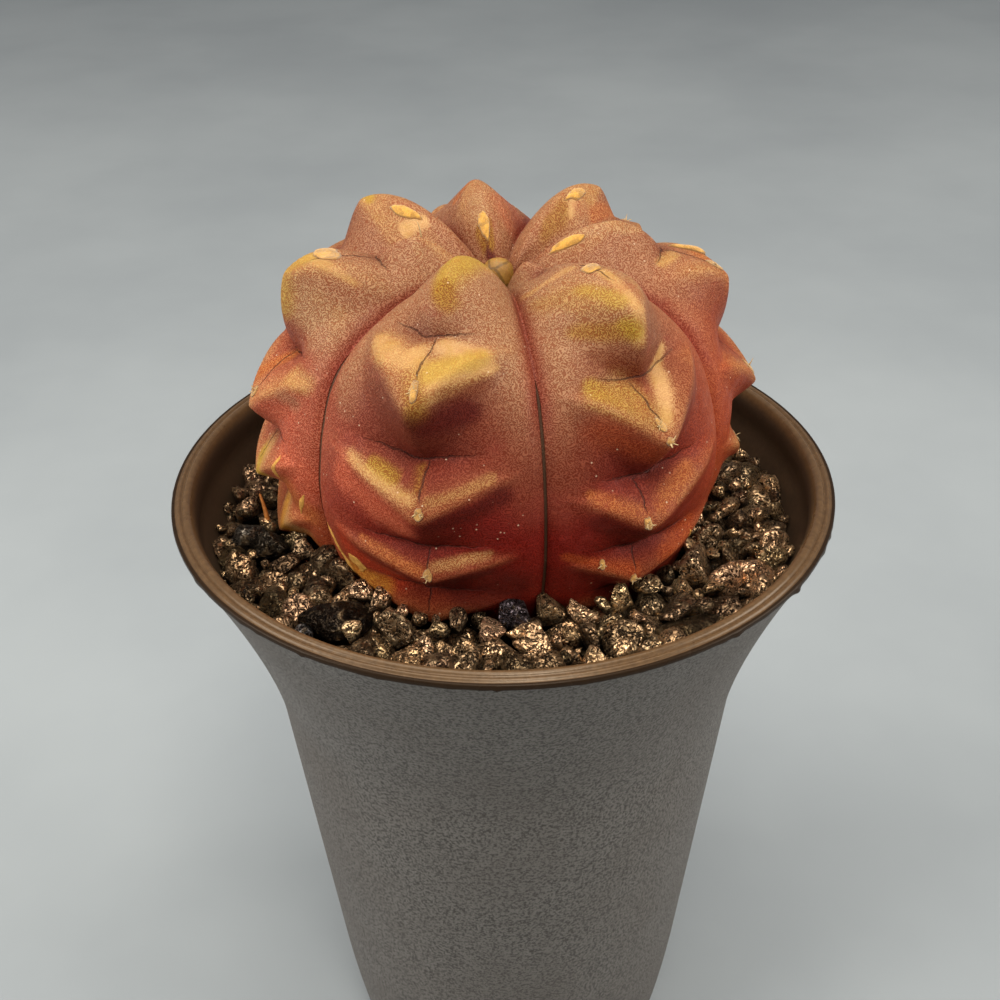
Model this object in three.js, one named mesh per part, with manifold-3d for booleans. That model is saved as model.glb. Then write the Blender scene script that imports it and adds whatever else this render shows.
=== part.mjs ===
// Potted moon cactus: a low, seven-ribbed stem with blunt tubercles, sunk in dark gravel over
// potting mix in a tapering plastic pot. Millimetres and degrees, +Z up, with the origin at the
// middle of the pot's foot.
import * as THREE from "three";
import { mergeVertices } from "three/addons/utils/BufferGeometryUtils.js";
import Module from "manifold-3d";

const wasm = await Module();
wasm.setup();

// Pot
const POT_HEIGHT = 97;
const POT_SEGMENTS = 48;
const LIP_RADIUS = 42.5;
const LIP_INNER_RADIUS = 39.4;
const WALL = 1.1;
const SIDE_RADIUS = 34.95;
const SIDE_TAPER = 0.1035;
const FLARE = 7.8;
const FLARE_DEPTH = 32;
const FLARE_POWER = 1.6;
const TUCK = 0.7;
const TUCK_HEIGHT = 17;
const FLOOR_THICKNESS = 1.4;
const FLOOR_CORNER = 1.8;
const FOOT_RISE = 1.5;
const FOOT_CORNER = 0.6;
const FOOT_OUTER_RADIUS = 23.4;
const FOOT_INNER_RADIUS = 20.6;
const DRAIN_RADIUS = 3;
const DRAIN_RING_RADIUS = 13;
const DRAIN_COUNT = 6;
const DRAIN_SIDES = 16;
const OUTSIDE_STEPS = [93, 80, 62, 44, 32, 24, 17, 11, 6, 1.25];
const INSIDE_STEPS = [4.3, 10, 18, 45, 80];

// The lip from its undercut to the inner wall, as radius and depth below the rim: an upright edge,
// a bead that slopes up to the rim, and a rounded shoulder inside
const LIP_OUTLINE = [
  [LIP_RADIUS, 1.1], [LIP_RADIUS, 0.55], [42.3, 0.33], [41.4, 0.17], [40.6, 0], [40.25, 0.14],
  [39.95, 0.55], [LIP_INNER_RADIUS, 1.6],
];

// Filling
const FIT_GAP = 0.3;
const STEM_SOCKET_GAP = 0.45;
const GRAVEL_DEPTH = 7;
const GRAVEL_HEAP = 2;
const GRAVEL_HEAP_WIDTH = 4;
const BED_BELOW_STONES = 1.6;
const MIX_TOP_DEPTH = 16;
const STONE_SPACING = 3.5;
const STONE_RADIUS = 2.9;
const STONE_FLATNESS = 0.85;
const STONE_TRIES = 9000;
const STONE_SEED = 4177;

// Stem: its middle lies a little behind the pot's axis and just above the pot's rim
const STEM_X = 0;
const STEM_Y = 4.5;
const STEM_CENTRE_HEIGHT = 6;
const STEM_RADIUS = 28;
const ROOT_TAPER = 4;
const ROOT_TAPER_FROM = 125;
const FURROW_SLIT = 0.5;
const FURROW_SLIT_WIDTH = 0.06;
const COLUMNS_PER_RIB = 10;
const ROWS_ABOVE = 39;
const ROWS_BELOW = 5;
const GROUND_LATITUDE = 118;

// Swellings of the stem at an angle from the crown, a dip where the size is negative
const CROWN_DIP = { size: -7.4, latitude: 0, spread: 40 };
const CROWN_PIT = { size: -4.2, latitude: 0, spread: 14 };
const SHOULDER = { size: 0.9, latitude: 60, spread: 14 };
const BASE = { size: 0.7, latitude: 120, spread: 16 };
const RIB_TOP = { size: 4.3, latitude: 34, spread: 24 };
const RIB_SIDE = { size: 2.1, latitude: 88, spread: 34 };

// Tubercles: how far and how fast their side ridges climb and how far they reach, how their tips
// and edges are rounded, how far the nose droops, and the crease under the chin
const WING_RISE = 16;
const WING_STEEPNESS = 1.3;
const WING_BEND = 0.45;
const WING_SOFT = 0.06;
const FULL_CLIMB_SIZE = 4.5;
const CREASE_CLIMB = 0.22;
const WING_REACH = 0.78;
const CROWN_WING_REACH = 0.2;
const EDGE_ROUNDING = 0.07;
const DIAMOND_POWER = 1.12;
const CROWN_ROUNDNESS = 0.45;
const TIP_POWER = 1.15;
const NOSE_DROOP = 2.4;
const FULL_SIZE = 3;
const CREASE_DEPTH = 0.42;
const CREASE_REACH = 0.42;
const CREASE_WIDTH = 4.5;
const SMALL_CREASE_WIDTH = 3;

// Azimuths of the furrows, counted from the front (-Y) towards +X. The last closes the ring
const FURROWS = [-52.5, 10, 70, 119, 165, 212, 261, 307.5];

// One list for each rib. A tubercle runs from the crease above it to the crease below it. These
// and its nose are given as angles from the crown; then come its height and the nose's shift
// across the rib, as a share of half the rib's width
const RIBS = [
  [[5, 25, 45, 3, -0.06], [45, 58.5, 72.3, 4.6, 0.05], [72.3, 82, 93, 2.3, 0.12],
    [93, 98.5, 106, 1.6, 0.15], [106, 114, 122, 1.6, 0.1]],
  [[4, 13, 21, 2.2, -0.25], [21, 45, 58.5, 3.8, -0.03], [58.5, 69, 80.5, 4.5, -0.19],
    [80.5, 88, 98, 2.5, -0.28], [98, 104.5, 112, 1.7, -0.3], [112, 120, 129, 1, -0.2]],
  [[5, 29, 43, 1.7, 0], [43, 56, 71, 3.3, 0], [71, 83, 92, 3.8, 0], [92, 102, 110, 3.2, 0],
    [110, 119, 126, 1.6, 0]],
  [[5, 38, 50, 2.6, -0.15], [50, 61, 72, 3.6, 0], [72, 84, 93, 3, 0], [93, 102, 110, 2.2, 0],
    [110, 119, 126, 1.2, 0]],
  [[4, 33, 48, 1.9, 0.12], [48, 60, 71, 3.6, 0], [71, 82, 91, 3.2, 0], [91, 99, 106, 2.2, 0],
    [106, 114, 122, 1.4, 0]],
  [[6, 39, 53, 3, 0], [53, 63, 73, 3.6, 0], [73, 84, 93, 3, 0], [93, 101, 109, 2.2, 0],
    [109, 118, 126, 1.2, 0]],
  [[6, 21, 33, 2.2, 0], [33, 47, 63.5, 4.8, 0], [63.5, 77, 85.5, 3, 0], [85.5, 94, 101, 3, 0],
    [101, 109, 118, 3, 0.1]],
];

const radians = THREE.MathUtils.degToRad;
const clamp = THREE.MathUtils.clamp;
const smoothstep = THREE.MathUtils.smoothstep;
const bell = (x, middle, width) => Math.exp(-(((x - middle) / width) ** 2));
const swelling = ({ size, latitude, spread }, at) => size * bell(at, latitude, spread);

function mergedCorners(geometry) {
  const bare = geometry.clone();
  bare.deleteAttribute("normal");
  bare.deleteAttribute("uv");
  return mergeVertices(bare, 1e-4);
}

function solidOf(geometry) {
  // a manifold solid of a closed geometry
  const merged = mergedCorners(geometry);
  return new wasm.Manifold(new wasm.Mesh({
    numProp: 3,
    vertProperties: new Float32Array(merged.attributes.position.array),
    triVerts: new Uint32Array(merged.index.array),
  }));
}

function geometryOf(solid) {
  const mesh = solid.getMesh();
  const geometry = new THREE.BufferGeometry();
  geometry.setAttribute("position", new THREE.BufferAttribute(new Float32Array(mesh.vertProperties), 3));
  geometry.setIndex(new THREE.BufferAttribute(new Uint32Array(mesh.triVerts), 1));
  geometry.computeVertexNormals();
  return geometry;
}

function largestBody(solid) {
  return solid.decompose().reduce((best, body) => (body.volume() > best.volume() ? body : best));
}

function revolve(profile) {
  // profile as [radius, height] pairs, revolved about +Z
  const points = profile.map(([radius, height]) => new THREE.Vector2(radius, height));
  return new THREE.LatheGeometry(points, POT_SEGMENTS).rotateX(Math.PI / 2);
}

// Pot

function potOuterRadius(height) {
  const depth = POT_HEIGHT - height;
  const flare = FLARE * Math.max(0, 1 - depth / FLARE_DEPTH) ** FLARE_POWER;
  const tuck = TUCK * Math.max(0, 1 - height / TUCK_HEIGHT) ** 2;
  return SIDE_RADIUS - SIDE_TAPER * depth + flare - tuck;
}

function potInnerRadius(height) {
  return Math.min(potOuterRadius(height) - WALL, LIP_INNER_RADIUS);
}

function potProfile() {
  const floorTop = FOOT_RISE + FLOOR_THICKNESS;
  const outside = (depth) => [potOuterRadius(POT_HEIGHT - depth), POT_HEIGHT - depth];
  const inside = (depth) => [potInnerRadius(POT_HEIGHT - depth), POT_HEIGHT - depth];
  return [
    [0, FOOT_RISE],
    [FOOT_INNER_RADIUS - FOOT_CORNER, FOOT_RISE],
    [FOOT_INNER_RADIUS, FOOT_RISE - FOOT_CORNER],
    [FOOT_INNER_RADIUS, 0],
    [FOOT_OUTER_RADIUS, 0],
    [FOOT_OUTER_RADIUS + FOOT_CORNER, FOOT_CORNER],
    ...OUTSIDE_STEPS.map(outside),
    ...LIP_OUTLINE.map(([radius, depth]) => [radius, POT_HEIGHT - depth]),
    ...INSIDE_STEPS.map(inside),
    [potInnerRadius(floorTop + FLOOR_CORNER), floorTop + FLOOR_CORNER],
    [potInnerRadius(floorTop) - FLOOR_CORNER, floorTop],
    [0, floorTop],
  ];
}

function drainHole(x, y) {
  // a plain round hole that goes right through the pot's floor
  const length = 2 * (FOOT_RISE + FLOOR_THICKNESS);
  const rod = new THREE.CylinderGeometry(DRAIN_RADIUS, DRAIN_RADIUS, length, DRAIN_SIDES);
  return solidOf(rod.rotateX(Math.PI / 2).translate(x, y, length / 2));
}

function buildPot() {
  let pot = solidOf(revolve(potProfile())).subtract(drainHole(0, 0));
  for (let hole = 0; hole < DRAIN_COUNT; hole += 1) {
    const angle = (hole / DRAIN_COUNT) * 2 * Math.PI;
    pot = pot.subtract(drainHole(DRAIN_RING_RADIUS * Math.cos(angle), DRAIN_RING_RADIUS * Math.sin(angle)));
  }
  return geometryOf(pot);
}

// Stem

function furrowRadius(latitude) {
  // distance of the furrows from the stem's middle, dipped at the crown and drawn in underground
  const underground = clamp((latitude - ROOT_TAPER_FROM) / (180 - ROOT_TAPER_FROM), 0, 1);
  const swellings = [CROWN_DIP, CROWN_PIT, SHOULDER, BASE].map((form) => swelling(form, latitude));
  return swellings.reduce((sum, size) => sum + size, STEM_RADIUS) - ROOT_TAPER * underground ** 2;
}

function ribRise(across, latitude) {
  // the rib's arch over its furrows: a tent near the crown, a flatter arch down the sides
  const arch = 1 - Math.abs(across) ** (1.5 + 1.1 * smoothstep(latitude, 30, 65));
  const slit = FURROW_SLIT * clamp(latitude / 30, 0, 1) * bell(Math.abs(across), 1, FURROW_SLIT_WIDTH);
  return (swelling(RIB_TOP, latitude) + swelling(RIB_SIDE, latitude)) * arch - slit;
}

function levelsOf([above, nose, below, size], side, latitude) {
  // latitudes of the upper crease, ridge and lower crease beside the nose: the ridge climbs away
  // from the nose, fast at first and then levelling, and the creases climb less
  const full = 0.5 + 0.5 * Math.min(1, size / FULL_CLIMB_SIZE);
  const rise = full * Math.min(WING_RISE, WING_STEEPNESS * (nose - above)) * clamp(latitude / 50, 0, 1);
  const climb = rise * (1 - Math.exp(-(Math.hypot(side, WING_SOFT) - WING_SOFT) / WING_BEND));
  return [above - CREASE_CLIMB * climb, nose - climb, below - CREASE_CLIMB * climb];
}

function tubercleForm(tubercle, side, latitude) {
  // a blunt four-sided pyramid, 1 at the nose and 0 at its creases and wing tips, and fuller near
  // the crown
  const [above, ridge, below] = levelsOf(tubercle, side, latitude);
  const fall = (latitude - ridge) / (latitude < ridge ? ridge - above : below - ridge);
  const atCrown = clamp((60 - tubercle[1]) / 30, 0, 1);
  const reach = WING_REACH + CROWN_WING_REACH * atCrown;
  const diamond = DIAMOND_POWER + CROWN_ROUNDNESS * atCrown;
  const fromCrest = Math.hypot(side / reach, EDGE_ROUNDING) - EDGE_ROUNDING;
  const fromRidge = Math.hypot(fall, EDGE_ROUNDING) - EDGE_ROUNDING;
  const outward = (fromCrest ** diamond + fromRidge ** diamond) ** (1 / diamond);
  const pyramid = clamp(1 - outward, 0, 1);
  return (((1 + EDGE_ROUNDING) * pyramid * pyramid) / (pyramid + EDGE_ROUNDING)) ** TIP_POWER;
}

function tubercleRelief(rib, across, latitude) {
  // height of the rib's tubercles and creases, and how near the point is to a nose
  let relief = 0;
  let nearNose = 0;
  for (const tubercle of rib) {
    const [, , , size, shift] = tubercle;
    const side = (across - shift) / (1 - shift * Math.sign(across - shift));
    const creaseLevel = levelsOf(tubercle, side, latitude)[2];
    const form = tubercleForm(tubercle, side, latitude);
    const width = size > FULL_SIZE - 0.5 ? CREASE_WIDTH : SMALL_CREASE_WIDTH;
    const fromCrease = Math.abs(latitude - creaseLevel) / width;
    const crease = Math.exp(-((Math.abs(side) / CREASE_REACH) ** 2.4) - fromCrease);
    relief += size * (form - CREASE_DEPTH * crease);
    nearNose = Math.max(nearNose, form * Math.min(1, size / FULL_SIZE));
  }
  return [relief, nearNose];
}

function stemPoint(ribIndex, across, latitude, margin) {
  // across runs from -1 to 1 between the rib's two furrows, latitude from the crown down
  const [relief, nearNose] = tubercleRelief(RIBS[ribIndex], across, latitude);
  const radius = furrowRadius(latitude) + ribRise(across, latitude) + relief + margin;
  const polar = radians(latitude + NOSE_DROOP * nearNose * clamp((latitude - 30) / 30, 0, 1));
  const middle = (FURROWS[ribIndex] + FURROWS[ribIndex + 1]) / 2;
  const halfWidth = (FURROWS[ribIndex + 1] - FURROWS[ribIndex]) / 2;
  const azimuth = radians(middle + across * halfWidth - 90);
  return [
    STEM_X + radius * Math.sin(polar) * Math.cos(azimuth),
    STEM_Y + radius * Math.sin(polar) * Math.sin(azimuth),
    POT_HEIGHT + STEM_CENTRE_HEIGHT + radius * Math.cos(polar),
  ];
}

function latitudeSteps() {
  const steps = [];
  for (let row = 1; row <= ROWS_ABOVE; row += 1) {
    steps.push((GROUND_LATITUDE * row) / ROWS_ABOVE);
  }
  for (let row = 1; row < ROWS_BELOW; row += 1) {
    steps.push(GROUND_LATITUDE + ((180 - GROUND_LATITUDE) * row) / ROWS_BELOW);
  }
  return steps;
}

function acrossStep(column) {
  // columns stand closer together next to the furrows
  const even = (2 * (column % COLUMNS_PER_RIB)) / COLUMNS_PER_RIB - 1;
  return 0.6 * even + 0.4 * Math.sin((even * Math.PI) / 2);
}

function stemGeometry(margin) {
  // rings of points round the stem, closed by a point at the crown and one at the root end
  const latitudes = latitudeSteps();
  const around = COLUMNS_PER_RIB * RIBS.length;
  const positions = [];
  for (const latitude of latitudes) {
    for (let column = 0; column < around; column += 1) {
      const rib = Math.floor(column / COLUMNS_PER_RIB);
      positions.push(...stemPoint(rib, acrossStep(column), latitude, margin));
    }
  }
  const crown = latitudes.length * around;
  const root = crown + 1;
  positions.push(...stemPoint(0, -1, 0, margin), ...stemPoint(0, -1, 180, margin));
  const index = [];
  for (let column = 0; column < around; column += 1) {
    const next = (column + 1) % around;
    const last = crown - around;
    index.push(crown, column, next, root, last + next, last + column);
    for (let ring = 0; ring < last; ring += around) {
      index.push(ring + column, ring + around + column, ring + next);
      index.push(ring + next, ring + around + column, ring + around + next);
    }
  }
  const geometry = new THREE.BufferGeometry();
  geometry.setAttribute("position", new THREE.Float32BufferAttribute(positions, 3));
  geometry.setIndex(index);
  geometry.computeVertexNormals();
  return geometry;
}

// Filling

function seededRandom(seed) {
  let state = seed;
  return () => {
    state = (Math.imul(state, 1664525) + 1013904223) >>> 0;
    return state / 2 ** 32;
  };
}

function outsideStem(x, y) {
  // how far a point in the gravel's plane lies outside the stem
  return Math.hypot(x - STEM_X, y - STEM_Y) - STEM_RADIUS;
}

function gravelHeight(x, y) {
  // the gravel's surface, heaped a little against the stem
  const heap = GRAVEL_HEAP * Math.exp(-Math.max(0, outsideStem(x, y)) / GRAVEL_HEAP_WIDTH);
  return POT_HEIGHT - GRAVEL_DEPTH + heap;
}

function stonePlaces() {
  // stones dropped at random between the wall and the stem, kept where they lie clear of the rest
  const random = seededRandom(STONE_SEED);
  const wall = potInnerRadius(POT_HEIGHT - GRAVEL_DEPTH);
  const places = [];
  for (let attempt = 0; attempt < STONE_TRIES; attempt += 1) {
    const x = (2 * random() - 1) * wall;
    const y = (2 * random() - 1) * wall;
    const size = 0.78 + 0.44 * random();
    const farEnough = (place) => {
      const apart = (STONE_SPACING * (size + place.size)) / 2;
      return Math.hypot(place.x - x, place.y - y) > apart;
    };
    const clearOfWall = Math.hypot(x, y) < wall - 0.75 * STONE_RADIUS * size;
    const clearOfStem = outsideStem(x, y) > 0.45 * STONE_RADIUS * size;
    if (clearOfWall && clearOfStem && places.every(farEnough)) {
      places.push({ x, y, size });
    }
  }
  return places;
}

function stoneGeometry(place, random) {
  // a rough, slightly flattened lump with its corners pushed in and out
  const geometry = mergedCorners(new THREE.IcosahedronGeometry(STONE_RADIUS * place.size, 0));
  const corners = geometry.attributes.position;
  const corner = new THREE.Vector3();
  for (let i = 0; i < corners.count; i += 1) {
    corner.fromBufferAttribute(corners, i).multiplyScalar(0.8 + 0.4 * random());
    corners.setXYZ(i, corner.x, corner.y, corner.z * STONE_FLATNESS);
  }
  geometry.rotateX(random() * Math.PI).rotateY(random() * Math.PI).rotateZ(random() * Math.PI);
  const sink = STONE_RADIUS * (0.25 + 0.3 * random());
  return geometry.translate(place.x, place.y, gravelHeight(place.x, place.y) - sink);
}

function insideWall(heights) {
  // a solid that fills the pot up from the first height to the last, clear of its wall
  const rings = heights.map((height) => [potInnerRadius(height) - FIT_GAP, height]);
  return solidOf(revolve([[0, heights[0]], ...rings, [0, heights.at(-1)]]));
}

function buildGravel() {
  const random = seededRandom(STONE_SEED + 1);
  const bottom = POT_HEIGHT - MIX_TOP_DEPTH;
  const bedTop = POT_HEIGHT - GRAVEL_DEPTH - BED_BELOW_STONES;
  const stones = stonePlaces().map((place) => solidOf(stoneGeometry(place, random)));
  const heap = wasm.Manifold.union([insideWall([bottom, bedTop]), ...stones]);
  const room = insideWall([bottom, bedTop, POT_HEIGHT - 1]);
  return geometryOf(largestBody(heap.intersect(room).subtract(solidOf(stemGeometry(STEM_SOCKET_GAP)))));
}

function buildPottingMix() {
  const bottom = FOOT_RISE + FLOOR_THICKNESS;
  const heights = [bottom + 2 * FLOOR_CORNER, 15, 47, 67, POT_HEIGHT - MIX_TOP_DEPTH];
  const rings = heights.map((height) => [potInnerRadius(height) - FIT_GAP, height]);
  const floor = [[0, bottom], [potInnerRadius(bottom) - FLOOR_CORNER - FIT_GAP, bottom]];
  const mix = solidOf(revolve([...floor, ...rings, [0, heights.at(-1)]]));
  return geometryOf(largestBody(mix.subtract(solidOf(stemGeometry(STEM_SOCKET_GAP)))));
}

// Materials

const plastic = new THREE.MeshStandardMaterial({ color: 0x4c4b49, roughness: 0.62, metalness: 0 });
const soil = new THREE.MeshStandardMaterial({ color: 0x2e2219, roughness: 0.95, metalness: 0 });
const stone = new THREE.MeshStandardMaterial({ color: 0x4a3b29, roughness: 0.4, metalness: 0 });
const skin = new THREE.MeshStandardMaterial({ color: 0x8f4a3a, roughness: 0.6, metalness: 0 });

function named(name, geometry, material) {
  const mesh = new THREE.Mesh(geometry, material);
  mesh.name = name;
  return mesh;
}

const plant = new THREE.Group();
plant.add(named("pot", buildPot(), plastic));
plant.add(named("potting_mix", buildPottingMix(), soil));
plant.add(named("gravel", buildGravel(), stone));
plant.add(named("cactus_stem", stemGeometry(0), skin));

export default plant;
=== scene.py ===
import math

import bpy
import numpy as np
from mathutils import Matrix, Vector


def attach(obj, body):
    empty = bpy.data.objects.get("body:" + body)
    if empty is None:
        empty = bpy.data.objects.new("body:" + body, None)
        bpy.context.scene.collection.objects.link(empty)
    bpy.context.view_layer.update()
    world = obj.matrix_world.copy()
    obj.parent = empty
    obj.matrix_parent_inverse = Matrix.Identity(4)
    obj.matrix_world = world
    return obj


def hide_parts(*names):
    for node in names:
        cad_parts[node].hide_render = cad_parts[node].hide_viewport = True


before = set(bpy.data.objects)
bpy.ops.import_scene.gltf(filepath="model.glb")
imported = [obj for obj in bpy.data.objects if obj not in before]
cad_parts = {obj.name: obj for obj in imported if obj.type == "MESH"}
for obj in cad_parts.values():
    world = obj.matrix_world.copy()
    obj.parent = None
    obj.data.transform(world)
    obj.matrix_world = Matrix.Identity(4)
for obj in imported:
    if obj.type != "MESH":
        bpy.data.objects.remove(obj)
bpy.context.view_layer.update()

# Potted moon cactus. Sizes and points are in millimetres and become metres in make_piece. +Z is up,
# and the origin is the middle of the pot's foot.


# Camera
# A phone's main lens, held in front of the pot and above it, looking down on the plant.

LENS_MM = 50.4
SENSOR_MM = 36
CAMERA_PLACE = (-0.000387, -0.154709, 0.193504)
CAMERA_LOOKS_DOWN = 33.24
CAMERA_ROLL = -0.989

lens = bpy.data.cameras.new("camera")
lens.lens = LENS_MM
lens.sensor_width = SENSOR_MM
lens.clip_start = 0.01
camera = bpy.data.objects.new("camera", lens)
camera.matrix_world = (
    Matrix.Translation(CAMERA_PLACE)
    @ Matrix.Rotation(math.radians(90 - CAMERA_LOOKS_DOWN), 4, "X")
    @ Matrix.Rotation(math.radians(CAMERA_ROLL), 4, "Z")
)
bpy.context.scene.collection.objects.link(camera)
bpy.context.scene.camera = camera


# Table and light
# A plain pale matt table top, and four soft studio lamps: a wide warm one overhead, a small warm
# one above in front, a wide one in front on the left, and a weaker one on the right.

MM = 0.001
FLOOR_HALF = 1500
FLOOR_DROP = 0.1
WORLD_COLOUR = (0.95, 0.97, 1.0)
WORLD_STRENGTH = 0.24
AIM = (0, 0, 0.1)
# Name, place, width in metres, watts and colour of each lamp
LAMPS = [
    ["overhead", (-0.04, 0.02, 0.64), 0.5, 2.7, (1.0, 0.95, 0.86)],
    ["front_top", (0.06, -0.30, 0.60), 0.16, 1.3, (1.0, 0.95, 0.86)],
    ["front_left", (-0.64, -0.20, 0.38), 0.5, 4.2, (1.0, 0.97, 0.92)],
    ["front_right", (0.64, -0.10, 0.34), 0.45, 3.4, (1.0, 0.96, 0.90)],
]


def srgb(red, green, blue):
    """A colour given as 0 to 255 on screen, as the linear values that shaders take."""
    screen = np.array([red, green, blue]) / 255
    low = screen / 12.92
    high = ((screen + 0.055) / 1.055) ** 2.4
    return np.where(screen <= 0.04045, low, high)


def rgba(colour):
    """A linear colour with full opacity, as a node socket takes it."""
    return (*[float(part) for part in colour], 1.0)


class Finish:
    """A material in the making: its shader, and short ways to add the nodes that feed it."""

    def __init__(self, name, **constants):
        self.material = bpy.data.materials.new(name)
        self.material.use_nodes = True
        self.tree = self.material.node_tree
        self.shader = self.tree.nodes["Principled BSDF"]
        self.place = self.node("ShaderNodeTexCoord", {}).outputs["Object"]
        self.dress(**constants)

    def feed(self, socket, value):
        """Links an output to a socket, or sets a number or colour on it."""
        if isinstance(value, bpy.types.NodeSocket):
            self.tree.links.new(value, socket)
        else:
            socket.default_value = value

    def dress(self, **values):
        """Feeds the shader's sockets, with _ for the spaces in their names."""
        for name, value in values.items():
            self.feed(self.shader.inputs[name.replace("_", " ")], value)

    def node(self, kind, inputs, **settings):
        """A node with its settings, and with its inputs linked or set."""
        made = self.tree.nodes.new(kind)
        for setting, value in settings.items():
            setattr(made, setting, value)
        for socket, value in inputs.items():
            self.feed(made.inputs[socket], value)
        return made

    def noise(self, per_metre, detail=3.0, roughness=0.55, distortion=0.0, output=0):
        """Soft cloudy values from 0 to 1, or colours, so many lumps to the metre."""
        inputs = {"Vector": self.place, "Scale": per_metre, "Detail": detail}
        inputs.update({"Roughness": roughness, "Distortion": distortion})
        return self.node("ShaderNodeTexNoise", inputs).outputs[output]

    def cells(self, per_metre, feature="F1"):
        """Cells of one size: the distance from the nearest cell's seed, or from the cell's edge."""
        inputs = {"Vector": self.place, "Scale": per_metre}
        return self.node("ShaderNodeTexVoronoi", inputs, feature=feature).outputs["Distance"]

    def map(self, value, low, high, to_low=0.0, to_high=1.0):
        """A value's range from low to high, eased on to another range."""
        inputs = {"Value": value, "From Min": low, "From Max": high}
        inputs.update({"To Min": to_low, "To Max": to_high})
        made = self.node("ShaderNodeMapRange", inputs, interpolation_type="SMOOTHSTEP")
        return made.outputs["Result"]

    def maths(self, operation, first, second=0.0):
        """One sum, product or other step of arithmetic."""
        return self.node("ShaderNodeMath", {0: first, 1: second}, operation=operation).outputs[0]

    def vectors(self, operation, *inputs, output="Vector"):
        """One step of arithmetic with vectors."""
        made = self.node("ShaderNodeVectorMath", dict(enumerate(inputs)), operation=operation)
        return made.outputs[output]

    def mix(self, share, first, second, blend="MIX"):
        """The first colour, taking on a share of the second, or of its product with the second."""
        made = self.node("ShaderNodeMix", {}, data_type="RGBA", blend_type=blend)
        for index, value in ((0, share), (6, first), (7, second)):
            self.feed(made.inputs[index], rgba(value) if isinstance(value, np.ndarray) else value)
        return made.outputs[2]

    def attribute(self, name, output="Fac"):
        """A value or colour that the mesh carries at its points."""
        return self.node("ShaderNodeAttribute", {}, attribute_name=name).outputs[output]

    def bump(self, height, distance, strength=1.0, under=None):
        """Relief of so many metres for a height from 0 to 1, over the relief under it."""
        inputs = {"Height": height, "Distance": distance, "Strength": strength}
        if under is not None:
            inputs["Normal"] = under
        return self.node("ShaderNodeBump", inputs).outputs["Normal"]


def make_piece(name, points, faces, material):
    """A smooth mesh object from points in millimetres and faces as lists of point numbers."""
    mesh = bpy.data.meshes.new(name)
    mesh.from_pydata(np.asarray(points, float) * MM, [], faces)
    mesh.polygons.foreach_set("use_smooth", np.ones(len(mesh.polygons), bool))
    mesh.materials.append(material)
    mesh.update()
    piece = bpy.data.objects.new(name, mesh)
    bpy.context.scene.collection.objects.link(piece)
    return piece


def soft_light(name, place, size, power, colour):
    """A square lamp, so many metres wide and watts strong, that faces the plant."""
    data = bpy.data.lights.new(name, "AREA")
    data.shape = "SQUARE"
    data.size = size
    data.energy = power
    data.color = colour
    lamp = bpy.data.objects.new(name, data)
    facing = (Vector(AIM) - Vector(place)).to_track_quat("-Z", "Y")
    lamp.matrix_world = Matrix.Translation(place) @ facing.to_matrix().to_4x4()
    bpy.context.scene.collection.objects.link(lamp)


table_finish = Finish("pale_table", Roughness=0.8)
table_tone = table_finish.map(table_finish.noise(6, detail=5), 0.3, 0.7)
table_colour = table_finish.mix(table_tone, srgb(150, 156, 160), srgb(164, 170, 173))
table_finish.dress(Base_Color=table_colour)
corner_x = np.array([-1, 1, 1, -1]) * FLOOR_HALF
corner_y = np.array([-1, -1, 1, 1]) * FLOOR_HALF
floor_points = np.stack([corner_x, corner_y, np.full(4, -FLOOR_DROP)], -1)
table = make_piece("table_top", floor_points, [[0, 1, 2, 3]], table_finish.material)

for lamp in LAMPS:
    soft_light(*lamp)

bpy.context.scene.view_settings.view_transform = "Standard"
world = bpy.data.worlds.new("pale_room")
world.use_nodes = True
world.node_tree.nodes["Background"].inputs["Color"].default_value = (*WORLD_COLOUR, 1)
world.node_tree.nodes["Background"].inputs["Strength"].default_value = WORLD_STRENGTH
bpy.context.scene.world = world


# Pot
# A tall tapering nursery pot, flared at the top, moulded in one piece from matt dark plastic.
# Its rolled lip is satin and browner, with two fine grooves, and a face darkened by painted shade
# and a ragged moulding edge underneath. The inside wall is darker, as painted shade. Seven drain
# holes go through the floor, which a foot ring lifts off the table.

POT_HEIGHT = 97
POT_COLUMNS = 512
LIP_INNER_RADIUS = 39.4
LIP_FOOT_DEPTH = 1.2
WALL = 1.1
SIDE_RADIUS = 34.95
SIDE_TAPER = 0.1035
FLARE = 7.8
FLARE_DEPTH = 32
FLARE_POWER = 1.6
TUCK = 0.7
TUCK_HEIGHT = 17
FLOOR_TOP = 2.9
FLOOR_CORNER = 1.8
OUTSIDE_ROWS = 64
UPPER_INSIDE_ROWS = 8
LOWER_INSIDE_ROWS = 14
CORNER_ROWS = 5
UNDERSIDE = 1.5
FOOT_OUTLINE = [
    [19.6, UNDERSIDE], [20.3, 1.35], [20.6, 0.9], [20.6, 0.15], [20.75, 0], [23.4, 0], [23.8, 0.12],
    [24.1, 0.45],
]
# The lip from its undercut over the top to the inner wall, as radius and depth below the rim
LIP_OUTLINE = [
    [42.2, 1.19], [42.38, 1.15], [42.47, 1.06], [42.5, 0.95], [42.5, 0.62], [42.46, 0.5],
    [42.38, 0.42], [42.26, 0.38], [42.12, 0.4], [42.0, 0.46], [41.88, 0.42], [41.78, 0.26],
    [41.66, 0.18], [41.5, 0.16], [41.38, 0.22], [41.28, 0.33], [41.14, 0.34], [41.04, 0.2],
    [40.92, 0.08], [40.78, 0.03], [40.6, 0], [40.42, 0.03], [40.25, 0.12], [40.1, 0.27],
    [39.95, 0.5], [39.75, 0.9], [39.55, 1.4], [39.43, 1.9],
]
# What counts as inside wall lies this far in from the outside, and above this height
INSIDE_GAP = 0.5
INSIDE_ABOVE = 3.5
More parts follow.
